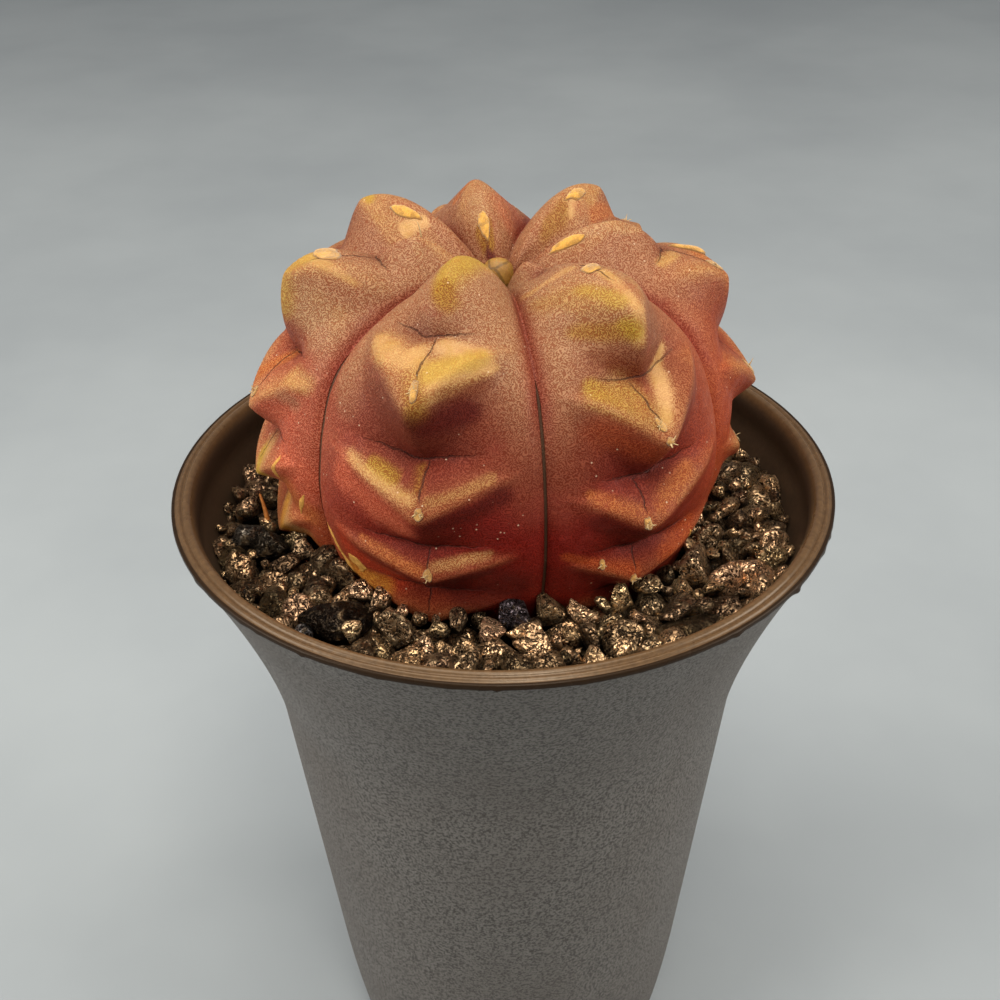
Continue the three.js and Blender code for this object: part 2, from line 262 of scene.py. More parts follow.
# Outside this radius the lip's outer face gets painted shade, from one depth below the rim to the
# other, by this share
LIP_FACE_RADIUS = 40.9
LIP_FACE_DEPTHS = (0.17, 0.3)
LIP_SHADE_STRENGTH = 0.9
# How much of the ragged edge each row of the lip takes, and the edge's burrs
RAGGED_ROWS = {1: 0.4, 2: 1.0, 3: 0.8, 4: 0.3}
RAGGED_BUMPS = 130
RAGGED_SEED = 11
BURR_HEIGHT = 0.22
BURR_WIDTHS = (0.35, 1.3)
DRAIN_RADIUS = 3
DRAIN_RING_RADIUS = 13
DRAIN_COUNT = 6
DRAIN_SIDES = 48
DRAIN_CUT = (-1, 6)


def pot_outer_radius(depth):
    """Outside of the pot: a straight taper, plus a flare that dies out by FLARE_DEPTH, less a
    small tuck above the foot."""
    flare = FLARE * np.maximum(0, 1 - depth / FLARE_DEPTH) ** FLARE_POWER
    tuck = TUCK * np.maximum(0, 1 - (POT_HEIGHT - depth) / TUCK_HEIGHT) ** 2
    return SIDE_RADIUS - SIDE_TAPER * depth + flare - tuck


def pot_inner_radius(depth):
    """Inside of the pot: a wall's thickness in from the outside, and never wider than the lip."""
    return np.minimum(pot_outer_radius(depth) - WALL, LIP_INNER_RADIUS)


def skin_over(rings, first_pole=None, last_pole=None, inwards=False):
    """Points and faces of a closed skin over rings of points, an array of rings, points and
    coordinates. A fan of triangles joins an end ring to its pole. With no poles the last ring joins
    the first. Faces look to the side where going round is anticlockwise about the way along."""
    count, around = rings.shape[:2]
    ring = np.arange(count if first_pole is None else count - 1)[:, None]
    along = (ring + 1) % count * around
    spot = np.arange(around)[None, :]
    beside = (spot + 1) % around
    corners = [ring * around + spot, ring * around + beside, along + beside, along + spot]
    faces = np.stack(np.broadcast_arrays(*corners), -1).reshape(-1, 4).tolist()
    points = rings.reshape(-1, 3)
    if first_pole is not None:
        first, last, start = len(points), len(points) + 1, (count - 1) * around
        spot, beside = spot[0], beside[0]
        faces += np.stack([np.full(around, first), beside, spot], -1).tolist()
        faces += np.stack([start + spot, start + beside, np.full(around, last)], -1).tolist()
        points = np.concatenate([points, [first_pole], [last_pole]])
    if inwards:
        faces = [face[::-1] for face in faces]
    return points, faces


def ragged_edge(angles):
    """Height of the burrs left along the mould's parting line: narrow bells of random size at
    random places round the ring."""
    random = np.random.default_rng(RAGGED_SEED)
    middles = random.uniform(0, 2 * math.pi, RAGGED_BUMPS)
    widths = np.radians(random.uniform(*BURR_WIDTHS, RAGGED_BUMPS))
    heights = BURR_HEIGHT * random.uniform(0, 1, RAGGED_BUMPS) ** 3
    apart = np.angle(np.exp(1j * (angles[None, :] - middles[:, None])))
    return (heights[:, None] * np.exp(-((apart / widths[:, None]) ** 2))).sum(0)


def pot_rings():
    """The pot's outline turned about its axis: foot, outside, lip, inside and floor, as rings."""
    outside = np.linspace(POT_HEIGHT - 0.9, LIP_FOOT_DEPTH + 0.1, OUTSIDE_ROWS)
    inside = np.concatenate([
        np.linspace(2.5, 10, UPPER_INSIDE_ROWS),
        np.linspace(14, POT_HEIGHT - 5, LOWER_INSIDE_ROWS),
    ])
    corner = np.linspace(0, math.pi / 2, CORNER_ROWS)
    corner_radius = pot_inner_radius(POT_HEIGHT - FLOOR_TOP - FLOOR_CORNER) - FLOOR_CORNER
    outline = np.concatenate([
        FOOT_OUTLINE,
        np.stack([pot_outer_radius(outside), POT_HEIGHT - outside], -1),
        np.array(LIP_OUTLINE) * [1, -1] + [0, POT_HEIGHT],
        np.stack([pot_inner_radius(inside), POT_HEIGHT - inside], -1),
        np.stack([
            corner_radius + FLOOR_CORNER * np.cos(corner),
            FLOOR_TOP + FLOOR_CORNER * (1 - np.sin(corner)),
        ], -1),
    ])
    angles = np.arange(POT_COLUMNS) / POT_COLUMNS * 2 * math.pi
    radius = np.repeat(outline[:, :1], POT_COLUMNS, axis=1)
    height = np.repeat(outline[:, 1:], POT_COLUMNS, axis=1)
    lip_start = len(FOOT_OUTLINE) + len(outside)
    for row, share in RAGGED_ROWS.items():
        radius[lip_start + row] += share * ragged_edge(angles)
        height[lip_start + row] -= 0.5 * share * ragged_edge(angles)
    return np.stack([radius * np.cos(angles), radius * np.sin(angles), height], -1)


def step_up(value, low, high):
    """0 up to low and 1 from high, eased in between."""
    share = np.clip((value - low) / (high - low), 0, 1)
    return share * share * (3 - 2 * share)


def rod(x, y, radius, low, high):
    """Rings of a plain round rod that stands on end."""
    angles = np.arange(DRAIN_SIDES) / DRAIN_SIDES * 2 * math.pi
    ring = np.stack([x + radius * np.cos(angles), y + radius * np.sin(angles), 0 * angles], -1)
    return np.stack([ring + [0, 0, low], ring + [0, 0, high]])


def cut_away(piece, tool):
    """Takes the tool's shape out of the piece for good, and deletes the tool."""
    cut = piece.modifiers.new("cut", "BOOLEAN")
    cut.operation = "DIFFERENCE"
    cut.solver = "EXACT"
    cut.object = tool
    evaluated = piece.evaluated_get(bpy.context.evaluated_depsgraph_get())
    mesh = bpy.data.meshes.new_from_object(evaluated)
    piece.modifiers.clear()
    piece.data = mesh
    bpy.data.objects.remove(tool)


def point_array(piece):
    """The piece's points in millimetres."""
    flat = np.empty(3 * len(piece.data.vertices))
    piece.data.vertices.foreach_get("co", flat)
    return flat.reshape(-1, 3) / MM


def give_values(piece, name, values):
    """Stores one number for each point of the piece, for its material to read."""
    layer = piece.data.attributes.new(name, "FLOAT", "POINT")
    layer.data.foreach_set("value", np.ascontiguousarray(values, np.float32).ravel())


BODY_DARK = srgb(52, 50, 48)
BODY_LIGHT = srgb(106, 102, 98)
BODY_HAZE = srgb(88, 82, 78)
LIP_DARK = srgb(82, 60, 38)
LIP_LIGHT = srgb(98, 73, 47)
# Painted shade on the lip's outer face
LIP_PAINTED_SHADE = srgb(30, 20, 13)
# The inside wall is the lip's plastic darkened by painted shade
INSIDE_SHADE_DARK = srgb(42, 30, 20)
INSIDE_SHADE_LIGHT = srgb(62, 46, 31)
SATIN = -0.3

plastic = Finish("dark_pot_plastic", Specular_Tint=(1.0, 0.86, 0.7, 1))
is_lip = plastic.attribute("lip")
is_inside = plastic.attribute("inside")
lip_shade_share = plastic.attribute("lip_shade_share")
grain = plastic.noise(2600, detail=2, roughness=0.6)
pits = plastic.cells(1500)
cloud = plastic.noise(60, detail=4)
scuffs = plastic.noise(1300, detail=3, roughness=0.6)
body_colour = plastic.mix(plastic.map(grain, 0.34, 0.6), BODY_DARK, BODY_LIGHT)
body_colour = plastic.mix(plastic.map(cloud, 0.3, 0.7, 0.0, 0.35), body_colour, BODY_HAZE)
lip_colour = plastic.mix(plastic.map(scuffs, 0.3, 0.75), LIP_DARK, LIP_LIGHT)
inside_shade_colour = plastic.mix(scuffs, INSIDE_SHADE_DARK, INSIDE_SHADE_LIGHT)
pot_colour = plastic.mix(is_lip, body_colour, lip_colour)
pot_colour = plastic.mix(is_inside, pot_colour, inside_shade_colour)
# Painted shade darkens the lip's outer face, and its specular level drops there too
pot_colour = plastic.mix(lip_shade_share, pot_colour, LIP_PAINTED_SHADE)
body_roughness = plastic.map(cloud, 0.2, 0.8, 0.52, 0.64)
polish = plastic.maths("MULTIPLY", plastic.maths("SUBTRACT", is_lip, is_inside), SATIN)
unpolished = plastic.map(is_lip, 0, 1, 1.0, 0.1)
relief = plastic.bump(plastic.maths("MULTIPLY", unpolished, grain), 0.00022, 0.8)
pit_height = plastic.maths("MULTIPLY", unpolished, plastic.map(pits, 0.0, 0.3))
plastic.dress(
    Base_Color=pot_colour,
    Specular_IOR_Level=plastic.map(lip_shade_share, 0, 1, 0.5, 0.12),
    Roughness=plastic.maths("ADD", body_roughness, polish),
    Normal=plastic.bump(pit_height, 0.00006, 0.5, under=relief),
)

rings = pot_rings()
points, faces = skin_over(rings, (0, 0, UNDERSIDE), (0, 0, FLOOR_TOP))
pot = make_piece("pot_shell", points, faces, plastic.material)
low, high = DRAIN_CUT
for hole in range(DRAIN_COUNT + 1):
    turn = hole / DRAIN_COUNT * 2 * math.pi
    reach = DRAIN_RING_RADIUS if hole < DRAIN_COUNT else 0
    x, y = reach * math.cos(turn), reach * math.sin(turn)
    points, faces = skin_over(rod(x, y, DRAIN_RADIUS, low, high), (x, y, low), (x, y, high))
    cut_away(pot, make_piece("drain_hole", points, faces, plastic.material))
x, y, z = point_array(pot).T
depth = POT_HEIGHT - z
from_axis = np.hypot(x, y)
inside_wall = (from_axis < pot_outer_radius(depth) - INSIDE_GAP) & (z > INSIDE_ABOVE)
at_lip = depth < LIP_FOOT_DEPTH + 0.05
shaded_lip_face = at_lip & ~inside_wall & (from_axis > LIP_FACE_RADIUS)
give_values(pot, "lip", at_lip | inside_wall)
# The inside wall's painted shade and its rougher finish fade in just below the rim
give_values(pot, "inside", inside_wall * step_up(depth, 0.2, 1.5))
give_values(pot, "lip_shade_share", LIP_SHADE_STRENGTH * step_up(depth, *LIP_FACE_DEPTHS) * shaded_lip_face)
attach(pot, "root")
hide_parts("pot")


# Potting mix
# Dark crumbly peat and bark that fills the pot under the gravel. It shows only through the
# drain holes, so the solid keeps its shape and gets a crumbly finish.

crumbs = Finish("potting_mix_crumbs", Roughness=0.95)
crumb_cells = crumbs.cells(420)
crumb_tone = crumbs.noise(900, detail=6, roughness=0.7)
crumb_colour = crumbs.mix(crumb_tone, srgb(22, 15, 10), srgb(74, 52, 34))
light_crumb = crumbs.map(crumbs.cells(260), 0.12, 0.05)
crumb_colour = crumbs.mix(light_crumb, crumb_colour, srgb(120, 92, 62))
crumb_relief = crumbs.bump(crumb_cells, 0.0012, 0.9)
crumb_relief = crumbs.bump(crumb_tone, 0.0005, 0.8, under=crumb_relief)
crumbs.dress(Base_Color=crumb_colour, Normal=crumb_relief)
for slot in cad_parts["potting_mix"].material_slots:
    slot.material = crumbs.material


# Cactus stem
# One grown stem of seven ribs, each a row of blunt tubercles with a crease under every chin and a
# narrow furrow on either side. It is fleshy, with a fine papillate skin, mauve and crimson with
# peach and yellow-green ridges. Its colours hold painted highlight on the ridges, and painted shade
# under the chins, in the creases, between the papilla rows and deep in the upper furrows. It sits
# in the gravel and tapers to its root end.

STEM_X = 0
STEM_Y = 4.5
STEM_MIDDLE = POT_HEIGHT + 6
STEM_RADIUS = 28
ROOT_TAPER = 4
ROOT_TAPER_FROM = 125
FURROW_SLIT = 0.5
FURROW_SLIT_WIDTH = 0.06
# Swellings of the stem and its ribs: size, angle from the crown and spread
CROWN_DIP = (-7.4, 0, 40)
CROWN_PIT = (-4.2, 0, 14)
SHOULDER = (0.9, 60, 14)
BASE = (0.7, 120, 16)
RIB_TOP = (4.3, 34, 24)
RIB_SIDE = (2.1, 88, 34)
WING_RISE = 16
WING_STEEPNESS = 1.3
WING_BEND = 0.45
WING_SOFT = 0.06
FULL_CLIMB_SIZE = 4.5
CREASE_CLIMB = 0.22
WING_REACH = 0.78
CROWN_WING_REACH = 0.2
EDGE_ROUNDING = 0.07
DIAMOND_POWER = 1.12
CROWN_ROUNDNESS = 0.45
TIP_POWER = 1.15
NOSE_DROOP = 2.4
FULL_SIZE = 3
CREASE_DEPTH = 0.42
CREASE_REACH = 0.42
CREASE_WIDTH = 4.5
SMALL_CREASE_WIDTH = 3
COLUMNS_PER_RIB = 56
ROWS_SHOWN = 215
ROWS_BURIED = 18
GROUND_LATITUDE = 120
DEGREE_MM = STEM_RADIUS * math.pi / 180
# The skin's fine dark lines begin at this latitude
LINES_FROM = 30
# Slow unevenness of the skin: size of the noise's lumps, height and seed
UNEVENNESS = [(11, 0.32, 3), (4.2, 0.13, 4), (1.7, 0.04, 5)]

# Azimuths of the furrows, counted from the front (-Y) towards +X. The last closes the ring
FURROWS = [-52.5, 10, 70, 119, 165, 212, 261, 307.5]

# One list for each rib. A tubercle runs from the crease above it to the crease below it. These
# and its nose are given as angles from the crown; then come its height and the nose's shift
# across the rib, as a share of half the rib's width
RIBS = [
    [[5, 25, 45, 3, -0.06], [45, 58.5, 72.3, 4.6, 0.05], [72.3, 82, 93, 2.3, 0.12],
     [93, 98.5, 106, 1.6, 0.15], [106, 114, 122, 1.6, 0.1]],
    [[4, 13, 21, 2.2, -0.25], [21, 45, 58.5, 3.8, -0.03], [58.5, 69, 80.5, 4.5, -0.19],
     [80.5, 88, 98, 2.5, -0.28], [98, 104.5, 112, 1.7, -0.3], [112, 120, 129, 1, -0.2]],
    [[5, 29, 43, 1.7, 0], [43, 56, 71, 3.3, 0], [71, 83, 92, 3.8, 0], [92, 102, 110, 3.2, 0],
     [110, 119, 126, 1.6, 0]],
    [[5, 38, 50, 2.6, -0.15], [50, 61, 72, 3.6, 0], [72, 84, 93, 3, 0], [93, 102, 110, 2.2, 0],
     [110, 119, 126, 1.2, 0]],
    [[4, 33, 48, 1.9, 0.12], [48, 60, 71, 3.6, 0], [71, 82, 91, 3.2, 0], [91, 99, 106, 2.2, 0],
     [106, 114, 122, 1.4, 0]],
    [[6, 39, 53, 3, 0], [53, 63, 73, 3.6, 0], [73, 84, 93, 3, 0], [93, 101, 109, 2.2, 0],
     [109, 118, 126, 1.2, 0]],
    [[6, 21, 33, 2.2, 0], [33, 47, 63.5, 4.8, 0], [63.5, 77, 85.5, 3, 0], [85.5, 94, 101, 3, 0],
     [101, 109, 118, 3, 0.1]],
]

DUSKY_TAN = srgb(168, 120, 88)
MAUVE_TAN = srgb(174, 132, 96)
RUSSET = srgb(140, 72, 50)
CRIMSON = srgb(130, 31, 22)
ROSE = srgb(202, 104, 74)
DUSTY_ROSE = srgb(202, 114, 84)
BRICK = srgb(184, 86, 40)
MAROON = srgb(94, 26, 18)
PEACH = srgb(198, 154, 96)
STRAW = srgb(170, 130, 74)
ORANGE = srgb(190, 114, 58)
PALE = srgb(214, 172, 114)
YELLOW_GREEN = srgb(182, 150, 46)
OLIVE = srgb(156, 112, 36)
BROWN = srgb(122, 62, 32)
GREY_TAN = srgb(180, 140, 100)
SCAB_YELLOW = srgb(206, 142, 48)
BRIGHT_RED = srgb(190, 66, 38)
CREASE_BROWN = srgb(62, 34, 26)
FURROW_GREY = srgb(72, 58, 42)
FURROW_SHADE_RED = srgb(140, 34, 32)
RUST = srgb(190, 92, 50)

# Wide zones of colour: middle azimuth and spread, the latitudes where the zone starts and where it
# is full, its greatest share and its colour
ZONES = [
    [-72, 30, 45, 80, 0.85, DUSTY_ROSE], [76, 30, 35, 75, 0.7, RUST], [-62, 40, 92, 112, 0.7, BRICK],
]

# How much peach and painted highlight the ridges of each rib's tubercles get, and how much maroon
# and painted shade the skin under their chins gets
RIDGE_COLOUR_AND_HIGHLIGHT_SHARES = [0.3, 0.3, 0.55, 0.55, 0.55, 0.55, 0.55]
CHIN_COLOUR_AND_SHADE_SHARES = [0.44, 0.3, 0.25, 0.4, 0.4, 0.4, 0.15]

# Strokes of colour on the skin. Rib, place across it and latitude of one end, the same of the other
# end, half width in mm, colour and how strong. The maroon and brown strokes under the noses are
# partly the skin's colour and partly painted shade. The maroon stroke along rib 5's furrow next to
# rib 6 is painted shade, and the grey-tan stroke across the top edge of rib 6's first tubercle is a
# painted highlight.
MARKS = [
    [0, 0, 21, 0, 31, 2.0, YELLOW_GREEN, 0.7], [0, 0.02, 35, 0.08, 37, 1.2, OLIVE, 0.85],
    [0, -0.42, 49, -0.1, 51, 1.5, PEACH, 0.85], [0, -0.05, 50, 0.1, 57.5, 1.0, PEACH, 0.9],
    [0, 0.15, 47, 0.5, 48.5, 0.9, PALE, 0.6], [0, 0.17, 54, 0.5, 50, 1.6, PEACH, 0.9],
    [0, 0.14, 53, 0.5, 49, 1.0, YELLOW_GREEN, 0.6], [0, 0.12, 58.5, 0.62, 51, 0.45, PEACH, 0.8],
    [0, 0.1, 57, 0.12, 61.5, 1.0, OLIVE, 0.6], [0, 0, 54, 0.1, 59, 1.0, OLIVE, 0.4],
    [0, 0.28, 57, 0.52, 55, 0.9, BROWN, 0.6], [0, 0.15, 63, 0.42, 60, 1.5, MAROON, 0.9],
    [0, -0.75, 53, -0.7, 62, 2.4, MAUVE_TAN, 0.5], [0, -0.5, 74.5, 0.05, 79, 0.6, PEACH, 0.9],
    [0, -0.3, 74.5, -0.1, 76, 0.6, YELLOW_GREEN, 0.6], [0, 0.16, 79, 0.6, 74.5, 0.5, STRAW, 0.6],
    [0, 0.07, 74, 0.08, 77, 0.5, OLIVE, 0.6], [0, -0.55, 79, -0.08, 86.5, 2.0, ROSE, 0.9],
    [0, 0.2, 84, 0.65, 79, 1.2, MAROON, 0.8], [0, -0.4, 94, 0.1, 97, 0.4, ORANGE, 0.7],
    [0, 0.18, 96, 0.58, 93.5, 0.4, PEACH, 0.6], [0, 0.2, 100.5, 0.55, 98, 0.9, MAROON, 0.7],
    [0, -0.6, 99, -0.2, 105, 1.8, BRIGHT_RED, 0.7], [0, 0.35, 106, 0.75, 105, 2.4, MAROON, 0.75],
    [0, -0.6, 109, -0.3, 108, 1.3, SCAB_YELLOW, 0.7],
    [0, -0.95, 116, -0.7, 112, 0.8, SCAB_YELLOW, 0.7],
    [1, -0.9, 28, -0.15, 29, 0.5, PEACH, 0.6], [1, -0.65, 35, -0.25, 41, 1.6, STRAW, 0.6],
    [1, 0, 35, -0.07, 51, 0.6, PEACH, 0.85], [1, -0.3, 37, -0.15, 42, 0.8, YELLOW_GREEN, 0.5],
    [1, -0.55, 45, -0.17, 48, 1.0, OLIVE, 0.7], [1, -0.45, 52, -0.12, 54.5, 1.3, BROWN, 0.5],
    [1, -0.3, 54.5, -0.1, 57.5, 0.9, BROWN, 0.8],
    [1, -0.17, 46.5, -0.1, 49, 0.7, YELLOW_GREEN, 0.6], [1, -0.6, 60, -0.25, 65.5, 0.8, STRAW, 0.7],
    [1, -0.52, 58, -0.25, 62, 1.0, YELLOW_GREEN, 0.6], [1, 0.3, 55, -0.15, 66, 0.7, PALE, 0.75],
    [1, 0.34, 60, 0.1, 66, 0.9, RUSSET, 0.5], [1, -0.34, 59, -0.22, 63.5, 1.6, STRAW, 0.6],
    [1, -0.55, 67, -0.25, 72, 1.7, BRICK, 0.4], [1, -0.68, 81, -0.28, 86, 0.5, ORANGE, 0.6],
    [1, -0.17, 85.5, 0.22, 82, 0.8, ORANGE, 0.7], [1, -0.6, 88, -0.2, 92, 1.2, MAROON, 0.7],
    [1, -0.85, 97.5, -0.3, 102.5, 0.6, BRICK, 0.7], [1, 0.3, 99, 0, 101, 1.2, BRICK, 0.7],
    [2, -0.25, 20, -0.05, 34, 0.8, GREY_TAN, 0.7], [2, -0.4, 43, -0.05, 45, 0.7, PEACH, 0.7],
    [2, 0.1, 50, 0, 58, 1.0, ORANGE, 0.6],
    [3, -0.35, 20, -0.35, 24, 1.2, OLIVE, 0.6], [3, -0.2, 29, -0.45, 27, 0.45, PALE, 0.6],
    [3, -0.6, 34, -0.4, 44, 0.8, ORANGE, 0.6],
    [4, 0.26, 21, 0.27, 25, 1.0, GREY_TAN, 0.9], [4, -0.35, 33, 0.5, 34, 0.6, ORANGE, 0.7],
    [4, 0.4, 10, 0.3, 15, 0.7, MAROON, 0.9], [4, -0.6, 25, -0.75, 33, 2.0, ROSE, 0.35],
    [4, 0.1, 13, 0.05, 17, 0.6, OLIVE, 0.8], [4, 0.5, 14, 0.5, 18, 0.6, OLIVE, 0.8],
    [5, 0.25, 23, 0.55, 28, 0.5, PALE, 0.7], [5, -0.35, 43, 0.1, 36, 0.6, YELLOW_GREEN, 0.7],
    [5, 0.9, 16, 0.95, 38, 0.5, MAROON, 0.7],
    [6, -0.5, 49, 0, 42, 0.6, PEACH, 0.8], [6, 0, 42, 0.55, 40, 0.5, PEACH, 0.8],
    [6, -0.3, 48, -0.2, 52, 0.9, YELLOW_GREEN, 0.7], [6, -0.2, 72, 0.05, 65, 0.9, ORANGE, 0.8],
    [6, 0.4, 24, 0.5, 34, 3.0, MAUVE_TAN, 0.5], [6, 0.5, 66, 0.68, 66.5, 1.2, PEACH, 0.7],
    [6, 0.5, 71, 0.6, 72, 1.2, DUSKY_TAN, 0.6], [6, 0.45, 52, 0.6, 55, 1.8, MAUVE_TAN, 0.6],
    [6, 0.5, 95, 0.8, 100, 1.8, ORANGE, 0.6], [6, 0.2, 77, 0.5, 76, 1.6, ROSE, 0.6],
    [6, 0.1, 52, 0.5, 50, 2.2, GREY_TAN, 0.7], [6, 0.07, 89.5, 0.1, 97, 1.7, PEACH, 0.8],
    [6, 0.0, 90.5, 0.12, 94, 0.8, YELLOW_GREEN, 0.8], [6, 0.25, 102, 0.55, 109, 1.4, PEACH, 0.75],
    [6, 0.6, 111, 0.85, 116, 1.3, ORANGE, 0.7], [6, 0.55, 84, 0.85, 92, 2.2, ROSE, 0.7],
    [6, -0.05, 45, 0, 54, 1.3, YELLOW_GREEN, 0.5], [6, 0.25, 103, 0.4, 112, 0.9, SCAB_YELLOW, 0.75],
    [6, 0.7, 117, 0.95, 122, 0.9, SCAB_YELLOW, 0.7], [6, -0.3, 22, 0.35, 23, 0.5, GREY_TAN, 0.7],
]

# Large primes, which scatter the corners of lattice_noise
LATTICE_PRIMES = np.array([73856093, 19349663, 83492791])


def bell(value, middle, width):
    """A bell curve, 1 at its middle."""
    return np.exp(-(((value - middle) / width) ** 2))


def blend(share, first, second):
    """The first colour going over to the second by a share at each point."""
    return first + share[..., None] * (second - first)


def lattice_noise(points, cell, seed):
    """Smooth random values from -1 to 1: random numbers at the corners of cubes of one size, with
    eased weights in between."""
    scaled = points / cell
    base = np.floor(scaled).astype(np.int64)
    weight = (scaled - base) ** 2 * (3 - 2 * (scaled - base))
    total = np.zeros(points.shape[:-1])
    for corner in np.ndindex(2, 2, 2):
        share = np.prod(np.where(np.array(corner, bool), weight, 1 - weight), axis=-1)
        # The products run over on purpose, which scrambles them
        with np.errstate(over="ignore"):
            mixed = np.bitwise_xor.reduce((base + corner) * LATTICE_PRIMES, axis=-1)
            mixed = (mixed ^ (seed * 40503)) * 1274126177
            mixed = (mixed ^ (mixed >> 15)) * 2246822519
        total += share * (((mixed >> 12) & 0xFFFF) / 32767.5 - 1)
    return total


def swell(latitude, *swellings):
    """Sum of bell curves down the stem."""
    return sum(size * bell(latitude, middle, spread) for size, middle, spread in swellings)


def furrow_radius(latitude):
    """Distance of the furrows from the stem's middle: a ball with a dip and a pit at the crown and
    two swellings, drawn in underground."""
    underground = np.clip((latitude - ROOT_TAPER_FROM) / (180 - ROOT_TAPER_FROM), 0, 1)
    swelling = swell(latitude, CROWN_DIP, CROWN_PIT, SHOULDER, BASE)
    return STEM_RADIUS + swelling - ROOT_TAPER * underground**2


def rib_rise(across, latitude):
    """The rib's arch over its furrows, a tent near the crown and flatter down the sides, less
    the narrow slit of the furrow itself."""
    arch = 1 - np.abs(across) ** (1.5 + 1.1 * step_up(latitude, 30, 65))
    slit = FURROW_SLIT * np.clip(latitude / 30, 0, 1) * bell(np.abs(across), 1, FURROW_SLIT_WIDTH)
    return swell(latitude, RIB_TOP, RIB_SIDE) * arch - slit


def side_of(tubercle, across):
    """Place across a tubercle: 0 on its nose's line, and -1 or 1 at the furrows."""
    shift = tubercle[4]
    return (across - shift) / (1 - shift * np.sign(across - shift))


def levels_of(tubercle, side, latitude):
    """Latitudes of a tubercle's upper crease, ridge and lower crease beside its nose. The ridge
    climbs away from the nose, fast at first and then levelling. The creases climb less, and so do
    small tubercles."""
    above, nose, below = tubercle[:3]
    full = 0.5 + 0.5 * min(1, tubercle[3] / FULL_CLIMB_SIZE)
    rise = full * min(WING_RISE, WING_STEEPNESS * (nose - above)) * np.clip(latitude / 50, 0, 1)
    climb = rise * (1 - np.exp(-(np.hypot(side, WING_SOFT) - WING_SOFT) / WING_BEND))
    return above - CREASE_CLIMB * climb, nose - climb, below - CREASE_CLIMB * climb


def fall_of(tubercle, side, latitude):
    """Place up or down a tubercle: 0 on its ridge, -1 at its upper crease and 1 at its lower."""
    above, ridge, below = levels_of(tubercle, side, latitude)
    return (latitude - ridge) / np.where(latitude < ridge, ridge - above, below - ridge)


def tubercle_form(tubercle, side, latitude):
    """A blunt four-sided pyramid, 1 at the nose and 0 at its creases and wing tips. Near the crown it
    is fuller."""
    at_crown = np.clip((60 - tubercle[1]) / 30, 0, 1)
    reach = WING_REACH + CROWN_WING_REACH * at_crown
    diamond = DIAMOND_POWER + CROWN_ROUNDNESS * at_crown
    from_crest = np.hypot(side / reach, EDGE_ROUNDING) - EDGE_ROUNDING
    from_ridge = np.hypot(fall_of(tubercle, side, latitude), EDGE_ROUNDING) - EDGE_ROUNDING
    outward = (from_crest**diamond + from_ridge**diamond) ** (1 / diamond)
    pyramid = np.clip(1 - outward, 0, 1)
    return ((1 + EDGE_ROUNDING) * pyramid**2 / (pyramid + EDGE_ROUNDING)) ** TIP_POWER


def crease_share(tubercle, side, latitude):
    """How much of a tubercle's lower crease is at a point: a narrow cusp that fades sideways."""
    below = levels_of(tubercle, side, latitude)[2]
    width = CREASE_WIDTH if tubercle[3] > FULL_SIZE - 0.5 else SMALL_CREASE_WIDTH
    return np.exp(-((np.abs(side) / CREASE_REACH) ** 2.4) - np.abs(latitude - below) / width)


def tubercle_relief(rib, across, latitude):
    """Height of a rib's tubercles and creases, and how near a point is to a nose."""
    relief = np.zeros(np.broadcast(across, latitude).shape)
    near_nose = np.zeros_like(relief)
    for tubercle in RIBS[rib]:
        size = tubercle[3]
        side = side_of(tubercle, across)
        form = tubercle_form(tubercle, side, latitude)
        relief += size * (form - CREASE_DEPTH * crease_share(tubercle, side, latitude))
        near_nose = np.maximum(near_nose, form * min(1, size / FULL_SIZE))
    return relief, near_nose


def stem_point(rib, across, latitude, lift=0.0):
    """Points on the stem's skin. across runs from -1 to 1 between the rib's two furrows, and
    latitude from the crown down. lift raises a point off the skin, along its radius."""
    relief, near_nose = tubercle_relief(rib, across, latitude)
    radius = furrow_radius(latitude) + rib_rise(across, latitude) + relief + lift
    polar = np.radians(latitude + NOSE_DROOP * near_nose * np.clip((latitude - 30) / 30, 0, 1))
    middle = (FURROWS[rib] + FURROWS[rib + 1]) / 2
    half_width = (FURROWS[rib + 1] - FURROWS[rib]) / 2
    azimuth = np.radians(middle + across * half_width - 90)
    x = np.sin(polar) * np.cos(azimuth)
    y = np.sin(polar) * np.sin(azimuth)
    way = np.stack(np.broadcast_arrays(x, y, np.cos(polar)), -1)
    on_ball = way * STEM_RADIUS
    wander = sum(size * lattice_noise(on_ball, cell, seed) for cell, size, seed in UNEVENNESS)
    settled = wander * step_up(latitude, 2, 15)
    return way * (radius + settled)[..., None] + [STEM_X, STEM_Y, STEM_MIDDLE]


def rolled_out(rib, across, latitude):
    """Places on a rib's skin rolled out flat, in mm sideways and down."""
    half_width = STEM_RADIUS * math.radians(FURROWS[rib + 1] - FURROWS[rib]) / 2
    sideways = across * np.sin(np.radians(latitude)) * half_width
    return np.stack([sideways, latitude * DEGREE_MM], -1)


def stroke_share(mark, across, latitude, wobble):
    """How much of a stroke of colour is at a point, by the distance in mm from its middle line on
    the skin rolled out flat."""
    rib, from_across, from_latitude, to_across, to_latitude, half_width = mark[:6]
    spots = rolled_out(rib, across, latitude)
    start, end = rolled_out(
        rib, np.array([from_across, to_across]), np.array([from_latitude, to_latitude])
    )
    run = end - start
    along = np.clip(((spots - start) @ run) / (run @ run + 1e-9), 0, 1)
    away = np.linalg.norm(spots - start - along[..., None] * run, axis=-1)
    return 1 - step_up(away + 0.4 * half_width * wobble, 0.35 * half_width, 1.55 * half_width)


